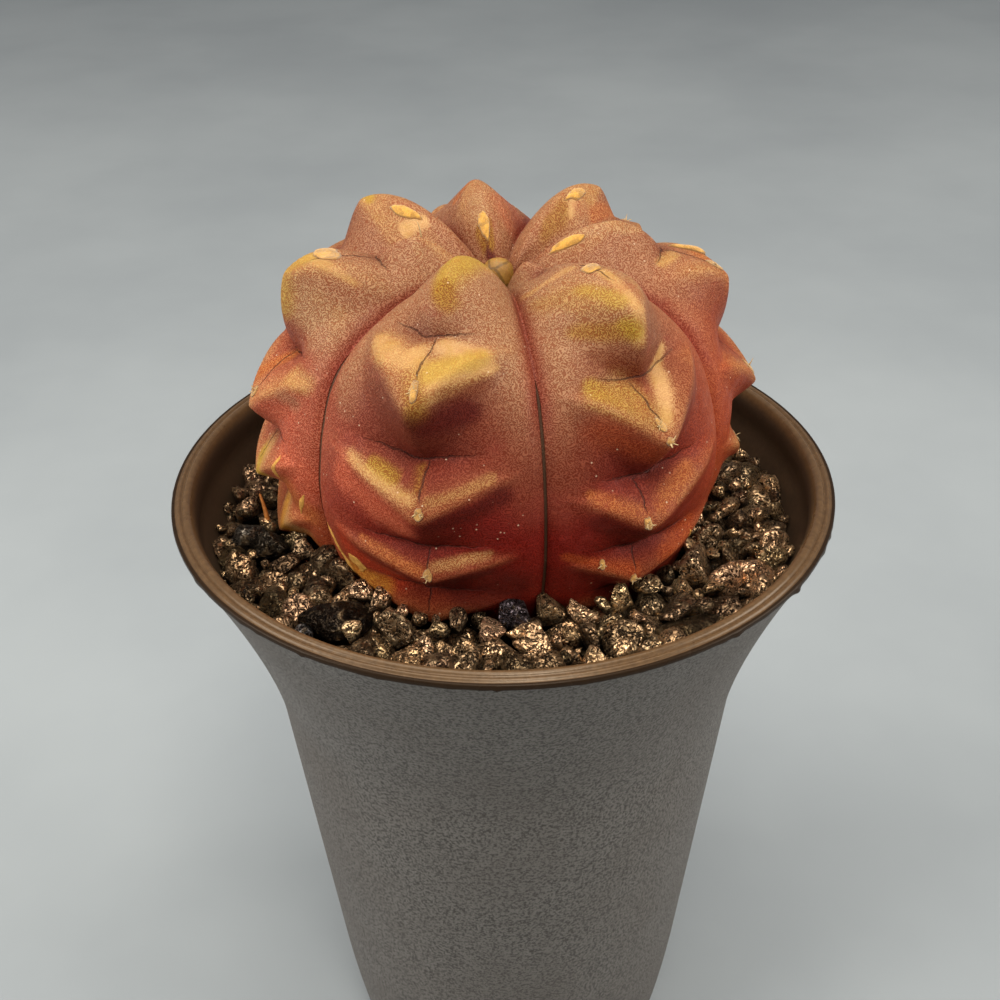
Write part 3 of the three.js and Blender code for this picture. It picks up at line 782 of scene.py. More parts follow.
def skin_colour(rib, across, latitude):
    """Colour of the skin at each point: dusky tan above and crimson below, with the wide zones over
    it, darker under each chin (maroon skin with painted shade), painted shade along each lower
    crease, lighter along each tubercle's ridge (peach skin with painted highlight), and the strokes
    of colour over all. Deep between the ribs of the upper part it is red, partly painted shade."""
    middle = (FURROWS[rib] + FURROWS[rib + 1]) / 2
    azimuth = middle + across * (FURROWS[rib + 1] - FURROWS[rib]) / 2
    azimuth = (azimuth + 180) % 360 - 180
    turn = np.radians(azimuth)
    way = np.stack([np.sin(turn) * STEM_RADIUS, -np.cos(turn) * STEM_RADIUS, -latitude / 2], -1)
    patchy = lattice_noise(way, 7, 21)
    fine = lattice_noise(way, 2.6, 22)
    dusky = np.broadcast_to(DUSKY_TAN, (*latitude.shape, 3))
    colour = blend(bell(azimuth, 0, 55), dusky, MAUVE_TAN)
    level = latitude + 6 * patchy - 8 * step_up(np.abs(across), 0.5, 0.9)
    colour = blend(step_up(level, 42, 66), colour, RUSSET)
    colour = blend(step_up(level, 63, 85), colour, CRIMSON)
    for zone_middle, spread, start, full, most, zone_colour in ZONES:
        zone = bell(azimuth, zone_middle, spread) * step_up(latitude, start, full)
        colour = blend(most * zone, colour, zone_colour)
    pit = 1 - step_up(latitude + 3 * fine, 5, 17)
    colour = blend(0.75 * pit, colour, BROWN)
    for tubercle in RIBS[rib]:
        side = side_of(tubercle, across)
        fall = fall_of(tubercle, side, latitude)
        strength = min(1, tubercle[3] / FULL_SIZE) ** 0.5
        # Painted shade: under the chin the skin is partly maroon and partly darkened as if in shade
        chin = step_up(fall, 0.06, 0.3) * (1 - step_up(fall, 0.8, 1.1)) * bell(side, 0, 0.7)
        chin *= strength * step_up(latitude, 30, 55)
        colour = blend(CHIN_COLOUR_AND_SHADE_SHARES[rib] * chin, colour, MAROON)
        # Painted highlight: the ridge is lighter, partly its own peach colour and partly as if lit
        edge = np.where(fall < 0, bell(fall, 0, 0.5), bell(fall, 0, 0.12))
        ridge = edge * (1 - step_up(np.abs(side) + 0.12 * fine, 0.4, 0.85)) * strength
        ridge_colour_and_highlight = RIDGE_COLOUR_AND_HIGHLIGHT_SHARES[rib] * ridge * (1 + 0.4 * patchy)
        colour = blend(np.clip(ridge_colour_and_highlight, 0, 1), colour, PEACH)
        # Painted shade: a maroon band along each tubercle's lower crease
        crease = crease_share(tubercle, side, latitude) ** 1.5
        colour = blend(0.7 * crease, colour, MAROON)
    for mark in MARKS:
        if mark[0] == rib:
            share = mark[7] * stroke_share(mark, across, latitude, fine + 0.6 * patchy)
            colour = blend(share, colour, mark[6])
    # Painted shade, in red, deep in the furrows of the upper part, partly the skin's own red
    upper_part = step_up(latitude, 12, 30) * (1 - step_up(latitude, 58, 75))
    furrow_shade = bell(np.abs(across), 1, 0.12) * upper_part
    return blend(0.7 * furrow_shade, colour, FURROW_SHADE_RED)


def stem_columns():
    """Places across a rib from its left furrow, closer together next to the furrows."""
    even = 2 * np.arange(COLUMNS_PER_RIB) / COLUMNS_PER_RIB - 1
    return 0.8 * even + 0.2 * np.sin(even * math.pi / 2)


shown_rows = np.linspace(0, GROUND_LATITUDE, ROWS_SHOWN + 1)[1:]
buried_rows = np.linspace(GROUND_LATITUDE, 180, ROWS_BURIED + 2)[1:-1]
latitudes = np.concatenate([shown_rows, buried_rows])
across_grid, latitude_grid = np.meshgrid(stem_columns(), latitudes)
FIELD_NAMES = ["furrow_mm", "midline_mm", "midline_share", "crease_mm", "crease_share"]
fields = {name: [] for name in FIELD_NAMES}
rib_points, rib_colours = [], []
for rib, tubercles in enumerate(RIBS):
    rib_points.append(stem_point(rib, across_grid, latitude_grid))
    rib_colours.append(skin_colour(rib, across_grid, latitude_grid))
    half_width = math.radians(FURROWS[rib + 1] - FURROWS[rib]) / 2
    breadth = STEM_RADIUS * np.sin(np.radians(latitude_grid)) * half_width
    shown = latitude_grid > LINES_FROM
    sides = np.stack([side_of(tubercle, across_grid) for tubercle in tubercles])
    falls, to_creases = [], []
    for tubercle, side in zip(tubercles, sides):
        falls.append(fall_of(tubercle, side, latitude_grid))
        to_creases.append(latitude_grid - levels_of(tubercle, side, latitude_grid)[2])
    falls = np.stack(falls)
    to_creases = np.stack(to_creases)
    mine = np.argmin(np.abs(falls), axis=0)[None]
    side = np.take_along_axis(sides, mine, 0)[0]
    fall = np.take_along_axis(falls, mine, 0)[0]
    open_furrow = 0.5 * (1 - step_up(latitude_grid, 44, 60))
    upper_half = step_up(fall, -1, -0.9) * (1 - step_up(fall, -0.4, -0.25))
    fields["furrow_mm"].append((1 - np.abs(across_grid)) * breadth + open_furrow)
    fields["midline_mm"].append(side * breadth)
    fields["midline_share"].append(upper_half * shown)
    nearest = np.argmin(np.abs(to_creases), axis=0)[None]
    side = np.take_along_axis(sides, nearest, 0)[0]
    fields["crease_mm"].append(np.take_along_axis(to_creases, nearest, 0)[0] * DEGREE_MM)
    fields["crease_share"].append((1 - step_up(np.abs(side), 0.2, 0.55)) * shown)

rings = np.concatenate(rib_points, axis=1)
crown = stem_point(0, np.array(-1.0), np.array(0.0))
root_end = stem_point(0, np.array(-1.0), np.array(180.0))
points, faces = skin_over(rings, crown, root_end, inwards=True)

# The papillae stand in winding rows. Wave length of the rows, how far noise moves them, and the
# size of its lumps, all in metres
ROW_WAVE = 0.00037
ROW_STIR = 0.0015
ROW_LUMPS = 0.001


def papilla_rows(finish):
    """Winding rows of one width, from 0 between them to 1 on them: a gyroid's wave, which is the sum
    of each coordinate's sine times the next one's cosine, with the coordinates stirred by noise."""
    stir = finish.noise(1 / ROW_LUMPS, detail=1.0, roughness=0.5, output="Color")
    moved = finish.vectors("MULTIPLY_ADD", stir, (ROW_STIR,) * 3, finish.place)
    phase = finish.vectors("MULTIPLY", moved, (2 * math.pi / ROW_WAVE,) * 3)
    third_turn = {"Vector": phase, "Axis": (1, 1, 1), "Angle": 2 * math.pi / 3}
    next_phase = finish.node("ShaderNodeVectorRotate", third_turn).outputs["Vector"]
    sines = finish.vectors("SINE", phase)
    cosines = finish.vectors("COSINE", next_phase)
    wave = finish.vectors("DOT_PRODUCT", sines, cosines, output="Value")
    return finish.map(wave, -0.5, 0.5)


def give_colours(piece, name, colours):
    """Stores one colour for each point of the piece, for its material to read."""
    layer = piece.data.color_attributes.new(name, "FLOAT_COLOR", "POINT")
    opaque = np.concatenate([colours, np.ones((len(colours), 1))], axis=1)
    layer.data.foreach_set("color", opaque.ravel())


# Painted shade between the papilla rows: the skin there is multiplied by this
ROW_GAP_SHADE = srgb(204, 168, 154)
MOTTLE = srgb(172, 128, 54)
BLOTCH_RED = srgb(150, 60, 50)
SPECK_CREAM = srgb(236, 206, 172)
PAPILLA_HEIGHT = 0.00005
GROOVE_DEPTH = 0.00022
# The fine lines: attribute, half width in mm and how dark
FINE_LINES = [["midline", 0.12, 0.7], ["crease", 0.13, 0.6]]

skin = Finish("cactus_skin", Specular_IOR_Level=0.14, Subsurface_Weight=0.1, Subsurface_Scale=0.002)
skin.dress(Subsurface_Radius=(1.0, 0.35, 0.2))
tint = skin.attribute("tint", "Color")
smooth = skin.attribute("smooth")
papillae = papilla_rows(skin)
# How strongly the rows show, as painted shade between them and as relief
row_shade_and_relief = skin.map(smooth, 0, 1, 1.0, 0.35)
colour = skin.mix(papillae, skin.mix(row_shade_and_relief, tint, ROW_GAP_SHADE, "MULTIPLY"), tint)
mottle = skin.map(skin.noise(380, detail=4), 0.42, 0.66, 0.0, 0.5)
colour = skin.mix(skin.maths("MULTIPLY", mottle, smooth), colour, MOTTLE)
blotch = skin.noise(160, detail=4)
colour = skin.mix(skin.map(blotch, 0.55, 0.75, 0.0, 0.3), colour, BLOTCH_RED)
speck_gate = skin.map(skin.noise(300, detail=2), 0.5, 0.58, 0.0, 0.6)
specks = skin.maths("MULTIPLY", skin.map(skin.cells(800), 0.11, 0.07), speck_gate)
colour = skin.mix(specks, colour, SPECK_CREAM)
wobble = skin.map(skin.noise(500, detail=3), 0.2, 0.8, -0.22, 0.22)
furrow_line = skin.map(skin.attribute("furrow_mm"), 0.24, 0.1)
grooves = furrow_line
for name, half_line, darkness in FINE_LINES:
    distance = skin.maths("ABSOLUTE", skin.maths("ADD", skin.attribute(name + "_mm"), wobble))
    line = skin.map(distance, half_line, 0.04)
    line = skin.maths("MULTIPLY", line, skin.attribute(name + "_share"))
    grooves = skin.maths("MAXIMUM", grooves, line)
    colour = skin.mix(skin.maths("MULTIPLY", line, darkness), colour, CREASE_BROWN)
colour = skin.mix(skin.maths("MULTIPLY", furrow_line, 0.85), colour, FURROW_GREY)
skin_relief = skin.bump(skin.maths("MULTIPLY", papillae, row_shade_and_relief), PAPILLA_HEIGHT, 0.9)
skin_relief = skin.bump(skin.maths("MULTIPLY", grooves, -1.0), GROOVE_DEPTH, 0.9, under=skin_relief)
skin_roughness = skin.map(skin.noise(700, detail=3), 0.3, 0.7, 0.42, 0.6)
skin.dress(Base_Color=colour, Roughness=skin_roughness, Normal=skin_relief)

stem = make_piece("cactus_body", points, faces, skin.material)
for name, parts in fields.items():
    at_poles = [9, 9] if name.endswith("mm") else [0, 0]
    give_values(stem, name, np.concatenate([np.concatenate(parts, axis=1).ravel(), at_poles]))
colours = np.concatenate(rib_colours, axis=1).reshape(-1, 3)
colours = np.concatenate([colours, [BROWN], [CRIMSON]])
greenness = colours[:, 1]
give_values(stem, "smooth", step_up(greenness, 0.2, 0.36))
give_colours(stem, "tint", colours)
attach(stem, "root")
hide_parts("cactus_stem")


# Areoles
# Felted pads of pale wool that grow just above each tubercle's nose. The young ones at the crown are
# long and butter yellow, and the old ones down the sides are small, brownish and worn.

# Rib, place across it, latitude, length and breadth in mm, turn from upright, and how young it is
AREOLES = [
    [4, 0.25, 17.5, 3.7, 1.8, 0, 1.0], [5, 0.25, 27, 3.6, 1.4, 0, 0.9],
    [3, -0.22, 29.5, 3.4, 1.3, 0, 0.95], [2, -0.3, 19, 4.2, 1.2, 0, 1.0],
    [1, -0.03, 32.5, 1.8, 2.4, 0, 0.7], [6, -0.1, 40, 2.0, 3.6, 10, 0.6],
    [2, 0.22, 49, 3.4, 1.3, 0, 0.8],
    [0, 0.07, 56, 1.7, 0.9, 10, 0.4], [0, 0.12, 80.8, 1.2, 1.1, 0, 0.2],
    [0, 0.15, 97.5, 1.1, 1.0, 0, 0.1], [1, -0.2, 66.2, 1.2, 1.0, 0, 0.3],
    [1, -0.19, 68.8, 0.9, 0.8, 0, 0.2], [1, -0.3, 87.2, 1.2, 1.1, 0, 0.2],
    [1, -0.32, 104, 1.1, 1.0, 0, 0.3], [1, -0.57, 100, 0.9, 0.8, 0, 0.4],
    [6, 0.0, 74, 1.3, 1.0, 0, 0.2],
]
AREOLES += [
    [rib, 0.0, tubercle[1] - 3, 1.7, 1.3, 0, 0.25]
    for rib in (2, 3, 4, 5) for tubercle in RIBS[rib][1:4]
]
AREOLE_RINGS = 7
AREOLE_COLUMNS = 22
PAD_DEPTH = 0.25
PAD_WANDER = 0.3
FLUFF = 0.08
# The noses stand this far from the stem's middle
NOSE_REACH = STEM_RADIUS * 1.12


def tangent_place(rib, across, latitude, along, sideways):
    """Place on a rib reached from a point by so many mm down the stem and so many sideways."""
    half_width = math.radians(FURROWS[rib + 1] - FURROWS[rib]) / 2
    breadth = NOSE_REACH * math.sin(math.radians(max(latitude, 8))) * half_width
    return across + sideways / breadth, latitude + np.degrees(along / NOSE_REACH)


def pad_rings(rib, across, latitude, length, breadth, turn, rise, depth, wander, seed):
    """A flattened lens that follows the skin under it, as rings, top and bottom. Its outline is an
    ellipse that wanders by a share. From its rim it rises as a dome and goes into the skin as a
    bowl."""
    around = np.arange(AREOLE_COLUMNS) / AREOLE_COLUMNS * 2 * math.pi
    profile = np.linspace(0, math.pi, 2 * AREOLE_RINGS)[1:-1]
    spread = np.sin(profile)[:, None] ** 0.8
    circle = np.stack([np.cos(around), np.sin(around), 0 * around], -1)
    lobes = 1 + wander * lattice_noise(circle, 0.6, seed)
    ahead = spread * (length / 2) * np.cos(around) * lobes
    aside = spread * (breadth / 2) * np.sin(around) * lobes
    tilt = math.radians(turn)
    along = ahead * math.cos(tilt) - aside * math.sin(tilt)
    sideways = ahead * math.sin(tilt) + aside * math.cos(tilt)
    places = tangent_place(rib, across, latitude, along, sideways)
    fluff = lattice_noise(np.stack([along, sideways, 0 * along], -1), 0.45, seed + 1)
    height = np.cos(profile)[:, None]
    lift = np.where(height > 0, (rise + FLUFF * fluff) * height, depth * height)
    middle = np.array(float(across)), np.array(float(latitude))
    top = stem_point(rib, *middle, lift=rise)
    bottom = stem_point(rib, *middle, lift=-depth)
    return stem_point(rib, *places, lift=lift), top, bottom


def joined(parts):
    """Several shapes as one: points and faces one after another."""
    points, faces, count = [], [], 0
    for part_points, part_faces in parts:
        points.append(part_points)
        faces += [[corner + count for corner in face] for face in part_faces]
        count += len(part_points)
    return np.concatenate(points), faces


felt = Finish("areole_felt", Roughness=0.9, Sheen_Weight=0.4, Sheen_Roughness=0.5)
youth = felt.attribute("youth")
fibres = felt.noise(3800, detail=3, roughness=0.7, distortion=0.8)
young = felt.mix(fibres, srgb(206, 132, 36), srgb(252, 200, 84))
old = felt.mix(fibres, srgb(134, 88, 40), srgb(220, 170, 92))
wool = felt.mix(youth, old, young)
stain = felt.map(felt.noise(900, detail=3), 0.4, 0.62, 0.0, 0.5)
worn_rim = felt.maths("MAXIMUM", felt.maths("MULTIPLY", felt.attribute("rim"), 0.8), stain)
felt_colour = felt.mix(worn_rim, wool, srgb(128, 84, 40))
felt.dress(Base_Color=felt_colour, Normal=felt.bump(fibres, 0.00025, 0.9))

profile = np.linspace(0, math.pi, 2 * AREOLE_RINGS)[1:-1]
one_rim = np.repeat(step_up(np.sin(profile), 0.78, 0.97), AREOLE_COLUMNS)
one_rim = np.concatenate([one_rim, [0, 0]])
pads, pad_youth = [], []
for number, (*place_and_size, youth_share) in enumerate(AREOLES):
    rise = 0.22 + 0.3 * youth_share
    pad, top, bottom = pad_rings(*place_and_size, rise, PAD_DEPTH, PAD_WANDER, 60 + number)
    pads.append(skin_over(pad, top, bottom, inwards=True))
    pad_youth.append(np.full(len(one_rim), youth_share))
points, faces = joined(pads)
areoles = make_piece("areoles", points, faces, felt.material)
give_values(areoles, "youth", np.concatenate(pad_youth))
give_values(areoles, "rim", np.tile(one_rim, len(AREOLES)))
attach(areoles, "root")


# Spine stubs
# What is left of the spines: short blunt horn-coloured pegs that stand in small stars out of the
# older areoles, worn down to under a millimetre. One thin spine is left near the crown.

STUB_SIDES = 7
STUB_RINGS = 5
STUB_RADIUS = 0.1
STUB_TAPER = 0.62
# Younger areoles than this have no stubs
NO_STUBS_FROM = 0.45
# The one thin spine: rib, place across it, latitude, way, length, radius and bend
THIN_SPINE = [6, -0.1, 20.5, (-0.1, 0.05, 0.99), 1.9, 0.11, (-0.12, 0, 0)]


def stub_rings(foot, way, length, radius, bend):
    """A tapered peg along a way that bends: circles whose radius falls to two fifths at the tip."""
    along = np.linspace(0, 1, STUB_RINGS)[:, None]
    around = np.arange(STUB_SIDES) / STUB_SIDES * 2 * math.pi
    first = np.cross(way, [0.31, 0.22, 0.92])
    first /= np.linalg.norm(first)
    second = np.cross(way, first)
    middle = foot + way * along * length + bend * along**2 * length
    thick = radius * (1 - STUB_TAPER * along)
    circle = first * np.cos(around)[:, None] + second * np.sin(around)[:, None]
    rings = middle[:, None, :] + thick[..., None] * circle[None]
    return rings, foot - 0.2 * way, middle[-1] + way * radius * 0.5


horn = Finish("spine_horn", Roughness=0.45)
horn_tone = horn.noise(2200, detail=3)
horn_colour = horn.mix(horn_tone, srgb(120, 84, 46), srgb(236, 206, 150))
horn.dress(Base_Color=horn_colour, Normal=horn.bump(horn_tone, 0.0001, 0.7))

random = np.random.default_rng(5)
stubs = []
for rib, across, latitude, *_, youth_share in AREOLES:
    if youth_share > NO_STUBS_FROM:
        continue
    foot = stem_point(rib, np.array(across), np.array(float(latitude)), lift=0.2)
    out = foot - [STEM_X, STEM_Y, STEM_MIDDLE]
    out /= np.linalg.norm(out)
    for _ in range(random.integers(3, 6)):
        splay = random.normal(0, 1, 3)
        splay -= out * (splay @ out)
        splay /= np.linalg.norm(splay)
        way = out + 1.4 * splay
        way /= np.linalg.norm(way)
        start = foot + 0.25 * splay
        size = random.uniform(0.3, 0.75)
        rings, base, tip = stub_rings(start, way, size, STUB_RADIUS, 0.25 * random.normal(0, 1, 3))
        stubs.append(skin_over(rings, base, tip))
rib, across, latitude, way, length, radius, bend = THIN_SPINE
foot = stem_point(rib, np.array(across), np.array(latitude), lift=0.2)
rings, base, tip = stub_rings(foot, np.array(way), length, radius, np.array(bend))
stubs.append(skin_over(rings, base, tip))
points, faces = joined(stubs)
spines = make_piece("spine_stubs", points, faces, horn.material)
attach(spines, "root")


# Corky scabs
# Thin yellow crusts of dead skin low on the stem's left, where it has aged and rubbed on the
# gravel. They are part of the skin, a little proud of it.

SCAB_RISE = 0.1
SCAB_DEPTH = 0.3
SCAB_WANDER = 0.45
# Rib, place across it, latitude, length and breadth in mm, and turn from upright
SCABS = [
    [0, -0.55, 105.5, 3.2, 2.2, 62], [0, -0.8, 103, 5.4, 0.8, 24], [0, -0.7, 108, 3.4, 0.8, 36],
    [6, 0.72, 98, 4.2, 0.7, -24], [6, 0.44, 90, 3.6, 0.7, -14], [1, 0.34, 103, 2.4, 0.6, 24],
    [5, 0.2, 101, 4.2, 1.2, 50], [3, -0.4, 104, 3.6, 1.0, 70],
]

cork = Finish("corky_scab", Roughness=0.75)
crust = cork.noise(1500, detail=5, roughness=0.7)
cork_colour = cork.mix(crust, srgb(170, 96, 30), srgb(250, 196, 92))
cork.dress(Base_Color=cork_colour, Normal=cork.bump(crust, 0.0004, 0.9))
scabs = []
for number, place_and_size in enumerate(SCABS):
    pad, top, bottom = pad_rings(*place_and_size, SCAB_RISE, SCAB_DEPTH, SCAB_WANDER, 90 + number)
    scabs.append(skin_over(pad, top, bottom, inwards=True))
points, faces = joined(scabs)
scab_piece = make_piece("corky_scabs", points, faces, cork.material)
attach(scab_piece, "root")


# Crown bud
# The youngest tubercle, a fleshy ochre knob with a finely cracked skin. It has no rib of its own yet
# and grows out of the stem in the hollow of the crown.

BUD_PLACE = (-0.2, 6.8, 120.4)
BUD_SIZE = (2.2, 1.9, 3.2)
BUD_COLUMNS = 40
BUD_RINGS = 23

around = np.arange(BUD_COLUMNS) / BUD_COLUMNS * 2 * math.pi
rise = np.linspace(-math.pi / 2, math.pi / 2, BUD_RINGS + 2)[1:-1, None]
knob_x = np.cos(rise) * np.cos(around)
knob_y = np.cos(rise) * np.sin(around)
knob = np.stack(np.broadcast_arrays(knob_x, knob_y, np.sin(rise)), -1)
knob *= 1 + 0.06 * lattice_noise(knob, 0.8, 33)[..., None]
bud_points = knob * BUD_SIZE + BUD_PLACE
low_end = np.array(BUD_PLACE) - [0, 0, BUD_SIZE[2]]
high_end = np.array(BUD_PLACE) + [0, 0, BUD_SIZE[2]]
points, faces = skin_over(bud_points, low_end, high_end)
bud_skin = Finish("bud_skin", Roughness=0.5, Subsurface_Weight=0.12, Subsurface_Scale=0.002)
bud_grain = bud_skin.noise(2400, detail=2, distortion=1.0)
bud_colour = bud_skin.mix(bud_grain, srgb(120, 84, 30), srgb(188, 140, 60))
bud_crack = bud_skin.map(bud_skin.cells(300, feature="DISTANCE_TO_EDGE"), 0.09, 0.01)
bud_colour = bud_skin.mix(bud_skin.maths("MULTIPLY", bud_crack, 0.5), bud_colour, srgb(52, 32, 16))
bud_skin.dress(Base_Color=bud_colour, Normal=bud_skin.bump(bud_grain, 0.00012, 0.7))
bud = make_piece("crown_bud", points, faces, bud_skin.material)
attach(bud, "root")


# Gravel
# A top dressing of dark crinkled stones, 2 to 6 mm across, poured round the stem over the potting
# mix. They look like burnt clinker, with pale gold glints on the folds. Their near-black creases and
# undersides, their darkening towards the left and the near-black bed under them are painted shade.
# Small chips fill the gaps.

GRAVEL_SURFACE = 90.3
GRAVEL_HEAP = 2.5
GRAVEL_HEAP_WIDTH = 4
BED_BOTTOM = 81
BED_MIDDLE = 84
BED_TOP = 87.2
BED_GAP = 0.3
BED_COLUMNS = 128
# The stones keep off the stem's outline at this height
OUTLINE_HEIGHT = 91
STONE_SEED = 77
STONE_TRIES = 90
# Stones aren't round, so they settle closer than their radii's sum, by this share
TOUCHING = 0.82
DROP_WALL_GAP = 0.2
STONE_WALL_GAP = 0.15
BIG_RADII = (1.35, 2.6)
CHIP_RADII = (0.45, 1.1)
BIG_STONES = 330
CHIPS = 330
# A stone shows if its top is less than this far under the surface
SHOWING_DEPTH = 1.4
# The stones nearest the front have finer meshes: squares along a side, and how crinkled
FINE_STONES = 95
FINE_GRADE = (9, 0.35)
PLAIN_GRADE = (3, 0.2)
CUTTING_PLANES = 8
CUT_DEPTHS = (0.56, 0.96)
EDGE_SHARPNESS = 40
# Folds of a stone: size of the noise's lumps, height and seed
FOLDS = [(0.62, 0.1, 41), (0.3, 0.07, 42), (0.16, 0.035, 43)]
BRASS = srgb(208, 170, 128)
BRIGHTNESS = (0.25, 1.4)
# Share of a stone's colour that is left low on its sides, under painted shade
UNDERSIDE_SHADE = 0.1
CREASE_SHADE = srgb(16, 12, 10)
BED_SHADE = srgb(16, 12, 9)
# The stones get darker towards the left, from one x to the other, as painted shade of the stem
LEFT_STONES = [-26, -8]
LEFT_PAINTED_SHADE = [0.65, 1.0]
# Stones that stand out: x, y, radius, flatness, colour
ODD_STONES = [
    [0.7, -23.4, 2.4, 0.8, (92, 82, 86)], [-23.9, -24.5, 1.9, 0.45, (118, 112, 110)],
    [-33.0, -4.6, 2.6, 0.75, (106, 98, 88)], [-29.9, -6.9, 2.2, 0.8, (84, 74, 62)],
    [22.3, -24.6, 2.9, 0.6, (92, 74, 50)], [-20.6, -22.6, 3.0, 0.8, (44, 35, 26)],
]


def rounded_cube(squares):
    """Points and faces of a ball: a cube's six faces in a grid of squares, with the shared edge points
    merged, pushed out to radius 1."""
    line = np.tan(np.linspace(-1, 1, squares + 1) * math.pi / 4)
    first, second = np.meshgrid(line, line, indexing="ij")
    third = np.ones_like(first)
    sheets = []
    for axis in range(3):
        for sign in (1, -1):
            sheet = np.roll(np.stack([third * sign, first * sign, second], -1), axis, axis=-1)
            sheets.append(sheet.reshape(-1, 3))
    loose = np.concatenate(sheets)
    row, column = np.meshgrid(np.arange(squares), np.arange(squares), indexing="ij")
    corner = (row * (squares + 1) + column).ravel()
    quad = np.stack([corner, corner + squares + 1, corner + squares + 2, corner + 1], -1)
    quads = np.concatenate([quad + (squares + 1) ** 2 * sheet for sheet in range(6)])
    merged, where = np.unique(np.round(loose, 6), axis=0, return_inverse=True)
    return merged / np.linalg.norm(merged, axis=1, keepdims=True), where.ravel()[quads]


def stem_outline(height):
    """Azimuths round the stem and its radius there at one height, to keep the gravel outside it."""
    columns = np.concatenate(rib_points, axis=1)
    away = columns - [STEM_X, STEM_Y, 0]
    reach = np.hypot(away[..., 0], away[..., 1])
    azimuth = np.arctan2(away[-ROWS_BURIED, :, 1], away[-ROWS_BURIED, :, 0])
    below_widest = slice(ROWS_SHOWN // 2, None)
    radius = np.array([
        np.interp(-height, -columns[below_widest, column, 2], reach[below_widest, column])
        for column in range(columns.shape[1])
    ])
    order = np.argsort(azimuth)
    return azimuth[order], radius[order]


def outside_stem(x, y, outline):
    """How far points lie outside the stem's outline."""
    azimuth = np.arctan2(y - STEM_Y, x - STEM_X)
    return np.hypot(x - STEM_X, y - STEM_Y) - np.interp(azimuth, *outline, period=2 * math.pi)


def gravel_height(x, y, outline):
    """Height of the gravel's surface, heaped a little against the stem."""
    near = np.exp(-np.maximum(0, outside_stem(x, y, outline)) / GRAVEL_HEAP_WIDTH)
    return GRAVEL_SURFACE + GRAVEL_HEAP * near


def drop_stones(radii, settled, random, outline):
    """Settles stones one by one: each tries many places between stem and wall, and takes the one
    where it comes to rest lowest below the gravel's surface. Returns x, y, z and radius rows."""
    wall = float(pot_inner_radius(POT_HEIGHT - GRAVEL_SURFACE)) - DROP_WALL_GAP
    for radius in radii:
        x, y = random.uniform(-wall, wall, (2, STONE_TRIES))
        free = (np.hypot(x, y) < wall - 0.9 * radius) & (outside_stem(x, y, outline) > 0.8 * radius)
        x, y = x[free], y[free]
        if not len(x):
            continue
        apart = np.hypot(x[:, None] - settled[None, :, 0], y[:, None] - settled[None, :, 1])
        touch = TOUCHING * (settled[None, :, 3] + radius)
        rest = settled[None, :, 2] + np.sqrt(np.maximum(touch**2 - apart**2, 0))
        z = np.maximum(np.where(apart < touch, rest, 0).max(1), BED_TOP + 0.45 * radius)
        over = z + 0.75 * radius - gravel_height(x, y, outline)
        best = np.argmin(over)
        if over[best] < 0.5:
            settled = np.concatenate([settled, [[x[best], y[best], z[best], radius]]])
    return settled


def random_turns(count, random):
    """Turning matrices that face every way alike, from random unit quaternions."""
    quaternions = random.normal(0, 1, (4, count))
    w, x, y, z = quaternions / np.linalg.norm(quaternions, axis=0)
    return np.stack([
        1 - 2 * (y * y + z * z), 2 * (x * y - z * w), 2 * (x * z + y * w),
        2 * (x * y + z * w), 1 - 2 * (x * x + z * z), 2 * (y * z - x * w),
        2 * (x * z - y * w), 2 * (y * z + x * w), 1 - 2 * (x * x + y * y),
    ], -1).reshape(count, 3, 3)


def stone_shapes(ball, places, flatness, crinkle, random):
    """Stones as points, one row each. A ball is cut by random planes with softened edges, folded by
    ridged noise, which is highest where smooth noise passes through zero, and flattened."""
    count = len(places)
    normals = random.normal(0, 1, (count, CUTTING_PLANES, 3))
    normals /= np.linalg.norm(normals, axis=-1, keepdims=True)
    depths = random.uniform(*CUT_DEPTHS, (count, 1, CUTTING_PLANES))
    towards = np.maximum(np.einsum("vk,snk->svn", ball, normals), 0) / depths
    reach = (towards**EDGE_SHARPNESS).sum(-1) ** (-1 / EDGE_SHARPNESS)
    shapes = ball[None] * np.clip(reach, 0.5, 1.3)[..., None]
    own = shapes + random.uniform(0, 500, (count, 1, 3))
    folds = sum(
        size * (0.5 - np.abs(lattice_noise(own, cell, seed)) * 2) for cell, size, seed in FOLDS
    )
    shapes *= (1 + crinkle * folds)[..., None]
    shapes[..., 0] *= random.uniform(0.8, 1.35, (count, 1))
    shapes[..., 2] *= np.asarray(flatness)[:, None]
    return shapes


outline = stem_outline(OUTLINE_HEIGHT)
random = np.random.default_rng(STONE_SEED)
odd = np.array([stone[:3] for stone in ODD_STONES])
odd_height = gravel_height(odd[:, 0], odd[:, 1], outline) - 0.45 * odd[:, 2]
settled = np.stack([odd[:, 0], odd[:, 1], odd_height, odd[:, 2]], -1)
big_radii = np.sort(random.uniform(*BIG_RADII, BIG_STONES))[::-1]
settled = drop_stones(big_radii, settled, random, outline)
big_count = len(settled)
settled = drop_stones(random.uniform(*CHIP_RADII, CHIPS), settled, random, outline)
surface_gap = gravel_height(settled[:, 0], settled[:, 1], outline) - settled[:, 2] - settled[:, 3]
numbers = np.arange(len(settled))
showing = np.flatnonzero((numbers < big_count) & (surface_gap < SHOWING_DEPTH))
nearest = showing[np.argsort(settled[showing, 1])][:FINE_STONES]
detailed = np.isin(numbers, nearest)

